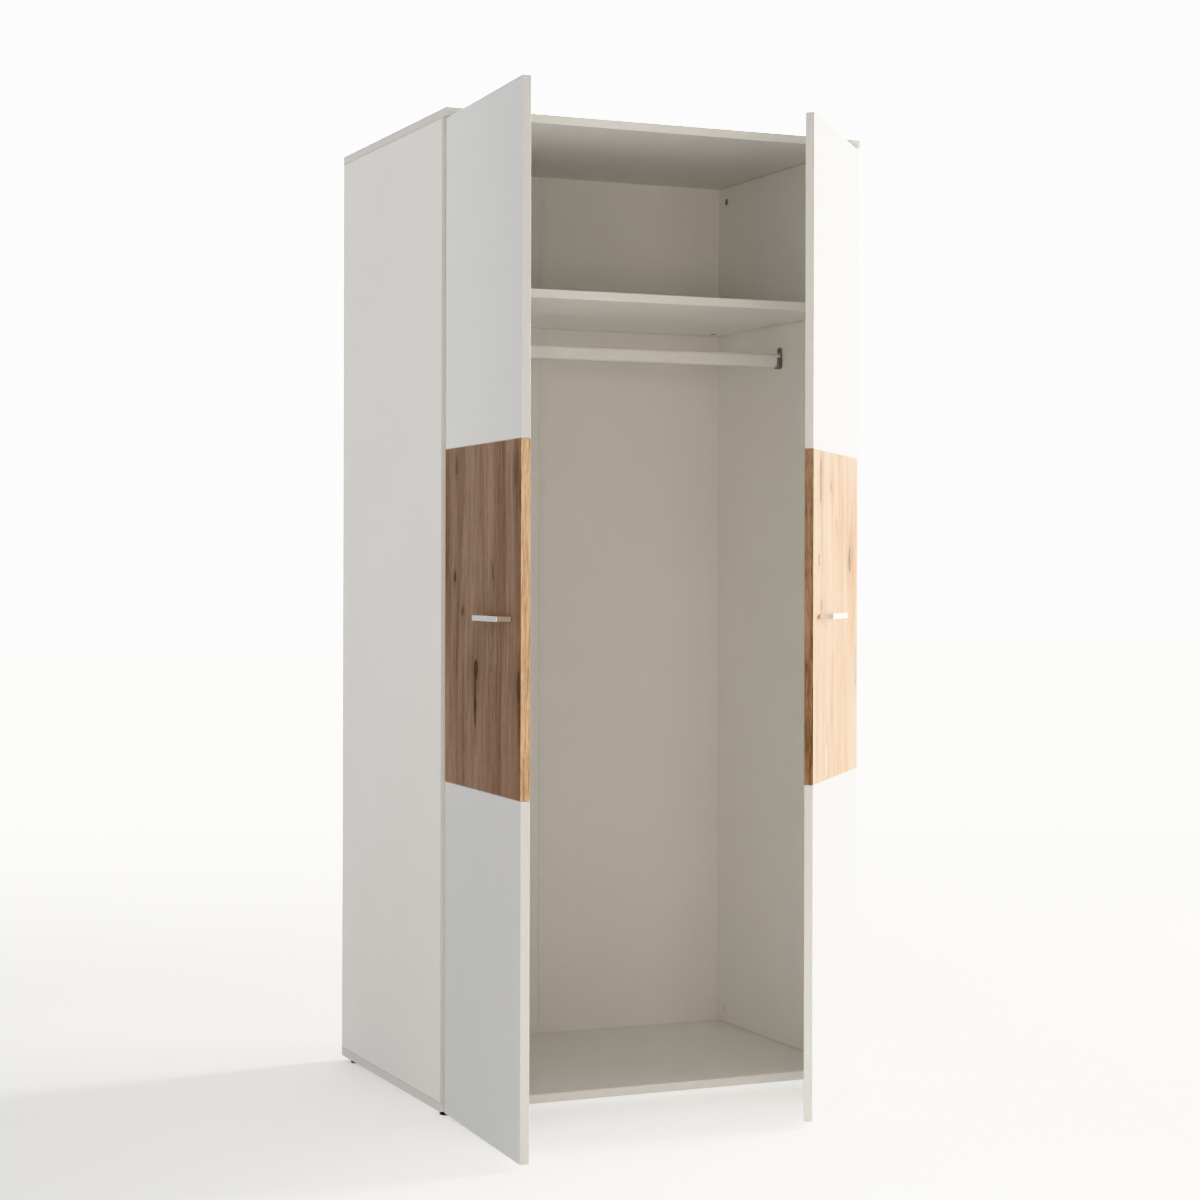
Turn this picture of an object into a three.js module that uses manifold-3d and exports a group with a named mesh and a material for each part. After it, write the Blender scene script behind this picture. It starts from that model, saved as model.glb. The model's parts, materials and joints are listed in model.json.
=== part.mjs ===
// Two-door wardrobe: a board carcass with a hat shelf and a hanging rail, and two doors that
// are each made of three board sections and hang on concealed cup hinges.
//
// Millimetres. +X is to the right of someone facing the doors, +Y is towards the wall and +Z is up.
// The origin is the centre of the bottom panel's underside. The doors are modelled closed, and
// then each one is turned open about its hinge axis.
//
// A side of -1 is the left and +1 is the right. An inset is a distance inwards from the outer
// face of the side panel on that side.
import * as THREE from 'three';
import { mergeVertices } from 'three/addons/utils/BufferGeometryUtils.js';
import Module from 'manifold-3d';

const wasm = await Module();
wasm.setup();

// ---------------------------------------------------------------- driving dimensions

const carcassWidth = 940;
const carcassDepth = 640;
const carcassHeight = 2000;
const boardThickness = 18;
const topOverhang = 22;
const turnedPieceGap = 0.3;
const roundSegments = 24;
const smallRoundSegments = 12;
const cornerSegments = 3;

// How far a cutter reaches past the face that it cuts.
const overrun = 1;

const doorOpenAngle = { left: 93, right: 50 };
const doorGapToCarcass = 2;
const doorSideReveal = 2.5;
const doorMiddleGap = 3;
const doorBottom = 1;
const doorTopClearance = 3;
const doorSectionCount = 3;
const hingeAxisInset = 3;
const hingeAxisDepth = 2;
const hingeHeights = [100, 730, 1250, 1880];

const backThickness = 3;
const backRecess = 19.7;
const grooveDepth = 6;
const grooveWidth = 3.6;

const shelfTop = 1653;
const shelfSetback = 20;
const railCentreHeight = 1553;
const railCentreY = -12;
const railHeight = 30;
const railDepth = 15;

const camFromBoardEnd = 34;
const camFromBoardEdge = 60;

const handleLength = 144;
const handleProjection = 30;
const handleBarHeight = 10;
const handleHoleSpacing = 128;
const handleFromFreeEdge = 55;

const footHeight = 10;
const footInset = 22;
const rearFootInset = 44;

// ---------------------------------------------------------------- derived dimensions

const halfWidth = carcassWidth / 2;
const frontY = -carcassDepth / 2;
const rearY = carcassDepth / 2;
const innerHalfWidth = halfWidth - boardThickness;
const topUnderside = carcassHeight - boardThickness;
const backFrontY = rearY - backRecess - backThickness;
const grooveFrontY = backFrontY - (grooveWidth - backThickness) / 2;
const camRows = [frontY + camFromBoardEdge, rearY - camFromBoardEdge];
const shelfRearY = backFrontY - 2;

const doorOuterY = frontY - doorGapToCarcass - boardThickness;
const doorInnerY = frontY - doorGapToCarcass;
const doorWidth = halfWidth - doorSideReveal - doorMiddleGap / 2;
const doorTop = topUnderside - doorTopClearance;
const doorHeight = doorTop - doorBottom;
const doorSectionHeight = (doorHeight - (doorSectionCount - 1) * turnedPieceGap) / doorSectionCount;
const doorMiddleHeight = (doorTop + doorBottom) / 2;
const hingeAxisY = doorOuterY + hingeAxisDepth;

const xAt = (side, inset) => side * (halfWidth - inset);

// ---------------------------------------------------------------- geometry helpers

const X = new THREE.Vector3(1, 0, 0);
const Y = new THREE.Vector3(0, 1, 0);
const Z = new THREE.Vector3(0, 0, 1);

function box(xA, xB, yA, yB, zA, zB) {
  const geometry = new THREE.BoxGeometry(Math.abs(xB - xA), Math.abs(yB - yA), Math.abs(zB - zA));
  return geometry.translate((xA + xB) / 2, (yA + yB) / 2, (zA + zB) / 2);
}

function cylinder(start, end, radius, segments = roundSegments) {
  const direction = end.clone().sub(start);
  const geometry = new THREE.CylinderGeometry(radius, radius, direction.length(), segments);
  geometry.applyQuaternion(new THREE.Quaternion().setFromUnitVectors(Y, direction.normalize()));
  const middle = start.clone().add(end).multiplyScalar(0.5);
  return geometry.translate(middle.x, middle.y, middle.z);
}

function extrude(shape, length) {
  const settings = { depth: length, bevelEnabled: false, curveSegments: cornerSegments };
  return new THREE.ExtrudeGeometry(shape, settings);
}

// A shape drawn in X and Y, from zA up to zB.
function extrudeAlongZ(shape, zA, zB) {
  return extrude(shape, zB - zA).translate(0, 0, zA);
}

// A shape drawn in Y and Z, from xA to the greater xB.
function extrudeAlongX(shape, xA, xB) {
  const geometry = extrude(shape, xB - xA);
  return geometry.applyMatrix4(new THREE.Matrix4().makeBasis(Y, Z, X)).translate(xA, 0, 0);
}

// A shape drawn in X and Z, from yA to the greater yB.
function extrudeAlongY(shape, yA, yB) {
  const geometry = extrude(shape, yB - yA);
  const turn = new THREE.Matrix4().makeBasis(X, Z, Y.clone().negate());
  return geometry.applyMatrix4(turn).translate(0, yB, 0);
}

function polygon(points) {
  return new THREE.Shape(points.map(([a, b]) => new THREE.Vector2(a, b)));
}

function roundedRectangle(centreA, centreB, width, height, radius) {
  const a = centreA - width / 2;
  const b = centreB - height / 2;
  const shape = new THREE.Shape();
  shape.moveTo(a + radius, b);
  shape.lineTo(a + width - radius, b);
  shape.absarc(a + width - radius, b + radius, radius, -Math.PI / 2, 0);
  shape.lineTo(a + width, b + height - radius);
  shape.absarc(a + width - radius, b + height - radius, radius, 0, Math.PI / 2);
  shape.lineTo(a + radius, b + height);
  shape.absarc(a + radius, b + height - radius, radius, Math.PI / 2, Math.PI);
  shape.lineTo(a, b + radius);
  shape.absarc(a + radius, b + radius, radius, Math.PI, 1.5 * Math.PI);
  return shape;
}

// An upright oval with straight sides and half-round ends, as points.
function ovalPoints(centreA, centreB, width, height) {
  const radius = width / 2;
  const straight = height / 2 - radius;
  const points = [];
  for (const end of [0, 1]) {
    for (let step = 0; step <= roundSegments / 2; step += 1) {
      const angle = Math.PI * (end + 2 * step / roundSegments);
      const shift = end === 0 ? straight : -straight;
      points.push([centreA + radius * Math.cos(angle), centreB + shift + radius * Math.sin(angle)]);
    }
  }
  return points;
}

function toSolid(geometry) {
  const bare = geometry.clone();
  bare.deleteAttribute('normal');
  bare.deleteAttribute('uv');
  const merged = mergeVertices(bare, 1e-4);
  const vertProperties = Float32Array.from(merged.attributes.position.array);
  const triVerts = Uint32Array.from(merged.index.array);
  return new wasm.Manifold(new wasm.Mesh({ numProp: 3, vertProperties, triVerts }));
}

function toGeometry(solid) {
  const mesh = solid.getMesh();
  const geometry = new THREE.BufferGeometry();
  const positions = Float32Array.from(mesh.vertProperties);
  geometry.setAttribute('position', new THREE.BufferAttribute(positions, 3));
  geometry.setIndex(new THREE.BufferAttribute(Uint32Array.from(mesh.triVerts), 1));
  return geometry;
}

function join(...geometries) {
  return toGeometry(geometries.map(toSolid).reduce((whole, next) => whole.add(next)));
}

function cut(geometry, cutters) {
  return toGeometry(cutters.map(toSolid).reduce((rest, next) => rest.subtract(next), toSolid(geometry)));
}

// ---------------------------------------------------------------- materials

const finishes = {
  satinWhite: { color: 0xe4e3df, roughness: 0.55, metalness: 0 },
  glossWhite: { color: 0xf2f2f0, roughness: 0.12, metalness: 0 },
  oak: { color: 0xc49a6c, roughness: 0.5, metalness: 0 },
  backBoard: { color: 0xe0ded8, roughness: 0.7, metalness: 0 },
  whitePlastic: { color: 0xecebe6, roughness: 0.4, metalness: 0 },
  darkPlastic: { color: 0x2b2b2d, roughness: 0.5, metalness: 0 },
  satinMetal: { color: 0xc9c9c6, roughness: 0.35, metalness: 0.9 },
  brightMetal: { color: 0xb8b8b8, roughness: 0.25, metalness: 1 },
  castZinc: { color: 0x8d8d8f, roughness: 0.5, metalness: 0.9 },
  railWhite: { color: 0xe9e7e1, roughness: 0.35, metalness: 0 },
};

function piece(name, geometry, finish) {
  const mesh = new THREE.Mesh(geometry, new THREE.MeshStandardMaterial(finishes[finish]));
  mesh.name = name;
  return mesh;
}

// ---------------------------------------------------------------- cam fittings

const camRadius = 7.3;
const camHoleRadius = 7.8;
const camRecess = 0.2;
const camDepth = 12.5;
const camHoleDepth = 13.2;
const camSlotLength = 9;
const camSlotWidth = 1.8;
const camSlotDepth = 1.5;
const boltRadius = 3;
const boltBoreRadius = 4;
const boltSocketRadius = 3.3;
const boltEndClearance = 0.4;
const boltIntoNeighbour = 11;

// A cam fitting is where it shows on a board's face, which way that face looks, and which way
// its bolt runs: through the board's end and on into the neighbouring board.
function camFitting(faceCentre, faceNormal, boltDirection) {
  const inwards = faceNormal.clone().negate();
  const from = (distance) => faceCentre.clone().addScaledVector(inwards, distance);
  const boltStart = from(boardThickness / 2);
  const boltReach = camFromBoardEnd + boltIntoNeighbour;
  return { faceCentre, faceNormal, boltDirection, from, boltStart, boltReach };
}

function camFittingSolid(fitting) {
  const disc = cylinder(fitting.from(camRecess), fitting.from(camDepth), camRadius);
  const boltLength = fitting.boltReach - boltEndClearance;
  const boltEnd = fitting.boltStart.clone().addScaledVector(fitting.boltDirection, boltLength);
  const bolt = cylinder(fitting.boltStart, boltEnd, boltRadius, smallRoundSegments);
  const across = new THREE.Vector3().crossVectors(fitting.faceNormal, fitting.boltDirection);
  const slots = [fitting.boltDirection, across].map((along) => {
    const sideways = new THREE.Vector3().crossVectors(fitting.faceNormal, along);
    const slot = new THREE.BoxGeometry(camSlotLength, camSlotWidth, 2 * camSlotDepth);
    slot.applyMatrix4(new THREE.Matrix4().makeBasis(along, sideways, fitting.faceNormal));
    return slot.translate(...fitting.from(camRecess).toArray());
  });
  return cut(join(disc, bolt), slots);
}

function camHoles(fitting) {
  const outside = fitting.from(-overrun);
  const boreLength = camFromBoardEnd + overrun;
  const boreEnd = fitting.boltStart.clone().addScaledVector(fitting.boltDirection, boreLength);
  return [
    cylinder(outside, fitting.from(camHoleDepth), camHoleRadius),
    cylinder(fitting.boltStart, boreEnd, boltBoreRadius, smallRoundSegments),
  ];
}

function boltSocket(fitting) {
  const justInsideBoard = camFromBoardEnd - overrun;
  const start = fitting.boltStart.clone().addScaledVector(fitting.boltDirection, justInsideBoard);
  const end = fitting.boltStart.clone().addScaledVector(fitting.boltDirection, fitting.boltReach);
  return cylinder(start, end, boltSocketRadius, smallRoundSegments);
}

const sides = [
  { name: 'left', side: -1 },
  { name: 'right', side: 1 },
];
const rowNames = ['front', 'rear'];

const camFittings = [];
for (const { name, side } of sides) {
  camRows.forEach((y, row) => {
    const inwardX = new THREE.Vector3(-side, 0, 0);
    const outwardX = new THREE.Vector3(side, 0, 0);
    const atSide = (z) => new THREE.Vector3(side * innerHalfWidth, y, z);
    const shelfCamX = side * (innerHalfWidth - camFromBoardEnd);
    const underShelf = new THREE.Vector3(shelfCamX, y, shelfTop - boardThickness);
    const label = `${name}_${rowNames[row]}`;
    camFittings.push(
      {
        name: `top_cam_${label}`,
        side,
        neighbour: 'top',
        ...camFitting(atSide(topUnderside - camFromBoardEnd), inwardX, Z.clone()),
      },
      {
        name: `bottom_cam_${label}`,
        side,
        neighbour: 'bottom',
        ...camFitting(atSide(boardThickness + camFromBoardEnd), inwardX, Z.clone().negate()),
      },
      {
        name: `shelf_cam_${label}`,
        side,
        neighbour: 'side',
        ...camFitting(underShelf, Z.clone().negate(), outwardX),
      },
    );
  });
}

// ---------------------------------------------------------------- carcass boards

const grooveEndX = innerHalfWidth + grooveDepth;

function sidePanel(side) {
  const [innerX, outerX] = [side * innerHalfWidth, side * halfWidth];
  const board = box(innerX, outerX, frontY, rearY, boardThickness, topUnderside);
  const groove = box(
    side * (innerHalfWidth - overrun), side * grooveEndX,
    grooveFrontY, grooveFrontY + grooveWidth,
    boardThickness - overrun, topUnderside + overrun,
  );
  const own = camFittings.filter((fitting) => fitting.side === side && fitting.neighbour !== 'side');
  const entersThisSide = (fitting) => fitting.side === side && fitting.neighbour === 'side';
  const shelfBolts = camFittings.filter(entersThisSide);
  return cut(board, [groove, ...own.flatMap(camHoles), ...shelfBolts.map(boltSocket)]);
}

// The top and the bottom panel run the full width, over and under the side panels.
function endPanel(neighbour, panelFrontY, zLow, grooveLow, grooveHigh, otherHoles) {
  const board = box(-halfWidth, halfWidth, panelFrontY, rearY, zLow, zLow + boardThickness);
  const groove = box(
    -grooveEndX, grooveEndX,
    grooveFrontY, grooveFrontY + grooveWidth,
    grooveLow, grooveHigh,
  );
  const bolts = camFittings.filter((fitting) => fitting.neighbour === neighbour);
  return cut(board, [groove, ...bolts.map(boltSocket), ...otherHoles]);
}

function hatShelf() {
  const board = box(
    -(innerHalfWidth - turnedPieceGap), innerHalfWidth - turnedPieceGap,
    frontY + shelfSetback, shelfRearY,
    shelfTop - boardThickness, shelfTop,
  );
  return cut(board, camFittings.filter((fitting) => fitting.neighbour === 'side').flatMap(camHoles));
}

// The back is two thin boards in the grooves, meeting in a plastic strip of H section.
const stripWidth = 14;
const stripFlange = 1.1;
const stripWeb = 1.2;

function backPanel(side) {
  const grooveClearance = 0.4;
  return box(
    side * (stripWeb / 2 + turnedPieceGap), side * (grooveEndX - grooveClearance),
    backFrontY, backFrontY + backThickness,
    boardThickness - grooveDepth + grooveClearance, topUnderside + grooveDepth - grooveClearance,
  );
}

function backJointStrip() {
  const halfFlange = stripWidth / 2;
  const halfWeb = stripWeb / 2;
  const webFront = grooveFrontY;
  const webRear = grooveFrontY + grooveWidth;
  const rightHalf = [
    [halfFlange, webFront - stripFlange],
    [halfFlange, webFront],
    [halfWeb, webFront],
    [halfWeb, webRear],
    [halfFlange, webRear],
    [halfFlange, webRear + stripFlange],
  ];
  const leftHalf = rightHalf.map(([x, y]) => [-x, y]).reverse();
  return extrudeAlongZ(
    polygon([...rightHalf, ...leftHalf]),
    boardThickness + turnedPieceGap, topUnderside - turnedPieceGap,
  );
}

// ---------------------------------------------------------------- hanging rail

const railWall = 1.2;
const bracketWall = 2.5;
const bracketBackThickness = 2;
const bracketCupDepth = 12;
const bracketFit = 0.4;
const bracketLugHeight = 30;
const bracketLugRadius = 7;
const bracketScrewAboveRail = 23;
const bracketScrewHeadRadius = 4;
const bracketScrewHeadHeight = 1.8;

// The rail's oval section, grown by a margin all round.
function railOutline(margin) {
  return ovalPoints(railCentreY, railCentreHeight, railDepth + 2 * margin, railHeight + 2 * margin);
}

function hangingRail() {
  const end = innerHalfWidth - turnedPieceGap - bracketBackThickness - turnedPieceGap;
  const tube = polygon(railOutline(0));
  tube.holes.push(polygon(railOutline(-railWall)));
  return extrudeAlongX(tube, -end, end);
}

// The rail drops into a cup with an open top, on a plate with a screw through its upper lug.
function railBracket(side) {
  const wallX = innerHalfWidth - turnedPieceGap;
  const ranged = (near, far) => (side > 0 ? [near, far] : [-far, -near]);
  const margin = bracketFit + bracketWall;
  const cup = extrudeAlongX(polygon(railOutline(margin)), ...ranged(wallX - bracketCupDepth, wallX));
  const bore = extrudeAlongX(
    polygon(railOutline(bracketFit)),
    ...ranged(wallX - bracketCupDepth - overrun, wallX - bracketBackThickness),
  );
  const openTop = box(
    side * (wallX - bracketCupDepth - overrun), side * (wallX - bracketBackThickness),
    railCentreY - railDepth, railCentreY + railDepth,
    railCentreHeight + railHeight / 4, railCentreHeight + railHeight,
  );
  const lug = extrudeAlongX(
    polygon(ovalPoints(
      railCentreY, railCentreHeight + bracketLugHeight / 2,
      2 * bracketLugRadius, bracketLugHeight,
    )),
    ...ranged(wallX - bracketBackThickness, wallX),
  );
  const screwCentre = (inset) => new THREE.Vector3(
    side * (wallX - inset), railCentreY, railCentreHeight + bracketScrewAboveRail,
  );
  const screwHead = cylinder(
    screwCentre(bracketBackThickness + bracketScrewHeadHeight), screwCentre(bracketBackThickness / 2),
    bracketScrewHeadRadius, smallRoundSegments,
  );
  return join(cut(cup, [bore, openTop]), lug, screwHead);
}

// ---------------------------------------------------------------- feet

const footPadRadius = 14;
const footPadHeight = 6;
const footPadBevel = 1.5;
const footShoulder = 1;
const footPlugRadius = 8;
const footPlugDepth = 9;

const footPlaces = sides.flatMap(({ name, side }) => [
  { name: `foot_${name}_front`, x: xAt(side, footInset), y: frontY + footInset },
  { name: `foot_${name}_rear`, x: xAt(side, footInset), y: rearY - rearFootInset },
]);

// A plug-in glide: a round pad with a bevelled rim, under a plug that sits in the bottom panel.
function foot({ x, y }) {
  const padTop = footPadHeight - footHeight;
  const profile = [
    [0, -footHeight],
    [footPadRadius - footPadBevel, -footHeight],
    [footPadRadius, -footHeight + footPadBevel],
    [footPadRadius, padTop],
    [footPlugRadius, padTop + footShoulder],
    [footPlugRadius, footPlugDepth],
    [0, footPlugDepth],
  ].map(([radius, z]) => new THREE.Vector2(radius, z));
  return new THREE.LatheGeometry(profile, roundSegments).rotateX(Math.PI / 2).translate(x, y, 0);
}

function footHole({ x, y }) {
  const start = new THREE.Vector3(x, y, -overrun);
  const end = new THREE.Vector3(x, y, footPlugDepth + turnedPieceGap);
  return cylinder(start, end, footPlugRadius + turnedPieceGap);
}

// ---------------------------------------------------------------- hinges

const cupCentreFromEdge = 22.5;
const cupHoleRadius = 17.5;
const cupOuterRadius = 17.1;
const cupInnerRadius = 16;
const cupDepth = 11.5;
const cupFloor = 1;
const flangeThickness = 1.2;
const flangeLength = 52;
const flangeWidth = 30;
const flangeCorner = 8;

const armWidth = 12;
const armInset = 25;
const armThickness = 9;
const armFrontY = doorOuterY + 9;
const armLength = 76;
const armNoseBevel = 3;
const armTailBevel = 6;
const armTailHeight = 6;
const plateFromFront = 37;
const plateDepth = 20;
const plateHeight = 50;
const plateScrewSpacing = 32;
const plateThickness = 3.5;
const plateScrewHeadRadius = 4;
const plateScrewHeadHeight = 2;

const cupCentreX = (side) => xAt(side, doorSideReveal + cupCentreFromEdge);

function cupHole(side, z) {
  const start = new THREE.Vector3(cupCentreX(side), doorInnerY + overrun, z);
  const end = new THREE.Vector3(cupCentreX(side), doorInnerY - cupDepth - turnedPieceGap, z);
  return cylinder(start, end, cupHoleRadius);
}

// A pressed cup sunk in the door, with a screwed flange on the door's inner face.
function hingeCup(side, z) {
  const x = cupCentreX(side);
  const flangeY = doorInnerY + turnedPieceGap;
  const at = (y) => new THREE.Vector3(x, y, z);
  const body = cylinder(at(flangeY + flangeThickness), at(doorInnerY - cupDepth), cupOuterRadius);
  const flange = extrudeAlongY(
    roundedRectangle(x, z, flangeWidth, flangeLength, flangeCorner),
    flangeY, flangeY + flangeThickness,
  );
  const mouthY = flangeY + flangeThickness + overrun;
  const hollow = cylinder(at(mouthY), at(doorInnerY - cupDepth + cupFloor), cupInnerRadius);
  return cut(join(body, flange), [hollow]);
}

// The arm and its screwed plate on the side panel. The arm's nose reaches into the closed cup.
function hingeArm(side, z) {
  const plateY = frontY + plateFromFront;
  const wallInset = boardThickness + turnedPieceGap;
  const plate = box(
    xAt(side, wallInset), xAt(side, wallInset + plateThickness),
    plateY - plateDepth / 2, plateY + plateDepth / 2,
    z - plateHeight / 2, z + plateHeight / 2,
  );
  const armOuterInset = armInset + armThickness;
  const armRearY = armFrontY + armLength;
  const plateFaceInset = wallInset + plateThickness;
  const rootInset = wallInset + plateThickness / 2;
  const outline = [
    [armInset, armFrontY],
    [armOuterInset - armNoseBevel, armFrontY],
    [armOuterInset, armFrontY + armNoseBevel],
    [armOuterInset, armRearY - armTailBevel],
    [armOuterInset - armTailBevel, armRearY],
    [plateFaceInset, armRearY],
    [plateFaceInset, armRearY - armTailHeight],
    [rootInset, plateY + plateDepth / 2 - overrun],
    [rootInset, plateY - plateDepth / 2 + overrun],
    [armInset, plateY - plateDepth / 2 - armInset / 2],
  ].map(([inset, y]) => [xAt(side, inset), y]);
  const arm = extrudeAlongZ(polygon(outline), z - armWidth / 2, z + armWidth / 2);
  const screws = [-1, 1].map((end) => {
    const screwZ = z + end * plateScrewSpacing / 2;
    const centre = (inset) => new THREE.Vector3(xAt(side, inset), plateY, screwZ);
    return cylinder(
      centre(rootInset), centre(plateFaceInset + plateScrewHeadHeight),
      plateScrewHeadRadius, smallRoundSegments,
    );
  });
  return join(plate, arm, ...screws);
}

// ---------------------------------------------------------------- doors

const plateOverJointWidth = 340;
const plateOverJointHeight = 60;
const plateOverJointThickness = 2;
const plateOverJointCorner = 4;
const handleBarThickness = 5;
const handleLegLength = 12;
const handleCorner = 1.5;
const handleScrewRadius = 2;
const handleScrewHoleRadius = 2.5;
const handleThreadDepth = 10;
const handleScrewHeadRadius = 4.2;
const handleScrewHeadHeight = 2.4;
const handleScrewSlotLength = 6;
const handleScrewSlotWidth = 1;
const handleScrewSlotDepth = 1;
const handleScrewIntoLeg = 9;

const sectionNames = ['lower', 'middle', 'upper'];
const sectionFinishes = ['glossWhite', 'oak', 'glossWhite'];
const sectionBottom = (index) => doorBottom + index * (doorSectionHeight + turnedPieceGap);

const doorCentreX = (side) => xAt(side, doorSideReveal + doorWidth / 2);
const handleCentreFromHingeSide = doorSideReveal + doorWidth - handleFromFreeEdge - handleLength / 2;
const handleCentreX = (side) => xAt(side, handleCentreFromHingeSide);
const handleHoleXs = (side) => [-1, 1].map((end) => handleCentreX(side) + end * handleHoleSpacing / 2);

function doorSection(side, index) {
  const zLow = sectionBottom(index);
  const zHigh = zLow + doorSectionHeight;
  const board = box(
    xAt(side, doorSideReveal), xAt(side, doorSideReveal + doorWidth),
    doorOuterY, doorInnerY, zLow, zHigh,
  );
  const holes = hingeHeights.filter((z) => z > zLow && z < zHigh).map((z) => cupHole(side, z));
  if (sectionNames[index] === 'middle') {
    for (const x of handleHoleXs(side)) {
      const start = new THREE.Vector3(x, doorOuterY - overrun, doorMiddleHeight);
      const end = new THREE.Vector3(x, doorInnerY + overrun, doorMiddleHeight);
      holes.push(cylinder(start, end, handleScrewHoleRadius, smallRoundSegments));
    }
  }
  return holes.length ? cut(board, holes) : board;
}

// A steel plate on the inner face, across the joint between two sections.
function doorJointPlate(side, lowerSection) {
  const z = sectionBottom(lowerSection + 1) - turnedPieceGap / 2;
  const x = doorCentreX(side);
  const nearY = doorInnerY + turnedPieceGap;
  return extrudeAlongY(
    roundedRectangle(x, z, plateOverJointWidth, plateOverJointHeight, plateOverJointCorner),
    nearY, nearY + plateOverJointThickness,
  );
}

// A flat bar bent to a U, with a threaded hole up each leg.
function handle(side) {
  const x = handleCentreX(side);
  const half = handleLength / 2;
  const innerHalf = half - handleLegLength;
  const footY = doorOuterY - turnedPieceGap;
  const barY = doorOuterY - handleProjection;
  const barInnerY = barY + handleBarThickness;
  const outline = [
    [x - half, footY],
    [x - half, barY + handleCorner],
    [x - half + handleCorner, barY],
    [x + half - handleCorner, barY],
    [x + half, barY + handleCorner],
    [x + half, footY],
    [x + innerHalf, footY],
    [x + innerHalf, barInnerY + handleCorner],
    [x + innerHalf - handleCorner, barInnerY],
    [x - innerHalf + handleCorner, barInnerY],
    [x - innerHalf, barInnerY + handleCorner],
    [x - innerHalf, footY],
  ];
  const bar = extrudeAlongZ(
    polygon(outline),
    doorMiddleHeight - handleBarHeight / 2, doorMiddleHeight + handleBarHeight / 2,
  );
  const threads = handleHoleXs(side).map((holeX) => {
    const start = new THREE.Vector3(holeX, footY + overrun, doorMiddleHeight);
    const end = new THREE.Vector3(holeX, footY - handleThreadDepth, doorMiddleHeight);
    return cylinder(start, end, handleScrewRadius + turnedPieceGap, smallRoundSegments);
  });
  return cut(bar, threads);
}

function handleScrew(x) {
  const at = (y) => new THREE.Vector3(x, y, doorMiddleHeight);
  const headY = doorInnerY + turnedPieceGap;
  const tipY = doorOuterY - handleScrewIntoLeg;
  const headTopY = headY + handleScrewHeadHeight;
  const shank = cylinder(at(headY), at(tipY), handleScrewRadius, smallRoundSegments);
  const head = cylinder(at(headY), at(headTopY), handleScrewHeadRadius, smallRoundSegments);
  const slot = box(
    x - handleScrewSlotLength / 2, x + handleScrewSlotLength / 2,
    headTopY - handleScrewSlotDepth, headTopY + overrun,
    doorMiddleHeight - handleScrewSlotWidth / 2, doorMiddleHeight + handleScrewSlotWidth / 2,
  );
  return cut(join(shank, head), [slot]);
}

function doorPieces(name, side) {
  const pieces = sectionNames.map((section, index) => (
    piece(`${name}_door_${section}_section`, doorSection(side, index), sectionFinishes[index])
  ));
  pieces.push(piece(`${name}_door_lower_joint_plate`, doorJointPlate(side, 0), 'brightMetal'));
  pieces.push(piece(`${name}_door_upper_joint_plate`, doorJointPlate(side, 1), 'brightMetal'));
  pieces.push(piece(`${name}_handle`, handle(side), 'satinMetal'));
  const holeXs = handleHoleXs(side);
  pieces.push(piece(`${name}_handle_screw_a`, handleScrew(holeXs[0]), 'brightMetal'));
  pieces.push(piece(`${name}_handle_screw_b`, handleScrew(holeXs[1]), 'brightMetal'));
  hingeHeights.forEach((z, index) => {
    pieces.push(piece(`${name}_hinge_cup_${index + 1}`, hingeCup(side, z), 'brightMetal'));
  });
  return pieces;
}

// The door turns about an upright axis just inside its outer front corner.
function door(name, side) {
  const axisX = xAt(side, doorSideReveal + hingeAxisInset);
  const turning = new THREE.Group();
  for (const part of doorPieces(name, side)) {
    part.geometry.translate(-axisX, -hingeAxisY, 0);
    turning.add(part);
  }
  turning.position.set(axisX, hingeAxisY, 0);
  turning.rotation.z = side * THREE.MathUtils.degToRad(doorOpenAngle[name]);
  return turning;
}

// ---------------------------------------------------------------- the wardrobe

const wardrobe = new THREE.Group();

wardrobe.add(piece(
  'top_panel',
  endPanel(
    'top', frontY - topOverhang, topUnderside,
    topUnderside - overrun, topUnderside + grooveDepth, [],
  ),
  'satinWhite',
));
wardrobe.add(piece(
  'bottom_panel',
  endPanel(
    'bottom', frontY, 0,
    boardThickness - grooveDepth, boardThickness + overrun, footPlaces.map(footHole),
  ),
  'satinWhite',
));
wardrobe.add(piece('hat_shelf', hatShelf(), 'satinWhite'));
wardrobe.add(piece('back_joint_strip', backJointStrip(), 'whitePlastic'));
wardrobe.add(piece('hanging_rail', hangingRail(), 'railWhite'));

for (const fitting of camFittings) {
  wardrobe.add(piece(fitting.name, camFittingSolid(fitting), 'castZinc'));
}

for (const place of footPlaces) {
  wardrobe.add(piece(place.name, foot(place), 'darkPlastic'));
}

for (const { name, side } of sides) {
  wardrobe.add(piece(`${name}_side_panel`, sidePanel(side), 'satinWhite'));
  wardrobe.add(piece(`back_panel_${name}`, backPanel(side), 'backBoard'));
  wardrobe.add(piece(`rail_bracket_${name}`, railBracket(side), 'castZinc'));
  hingeHeights.forEach((z, index) => {
    wardrobe.add(piece(`${name}_hinge_arm_${index + 1}`, hingeArm(side, z), 'brightMetal'));
  });
  wardrobe.add(door(name, side));
}

export default wardrobe;
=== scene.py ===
"""Looks of the two-door wardrobe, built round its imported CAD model.

Every piece is built in metres where the CAD model has it. A door's pieces are built closed and
upright, from an origin on the door's hinge axis, and then set at the angle that the door stands
open at, so a material that reads object coordinates always has x across the door and z up it.
"""
import json
import math

import bmesh
import bpy
from mathutils import Matrix, Vector


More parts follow.
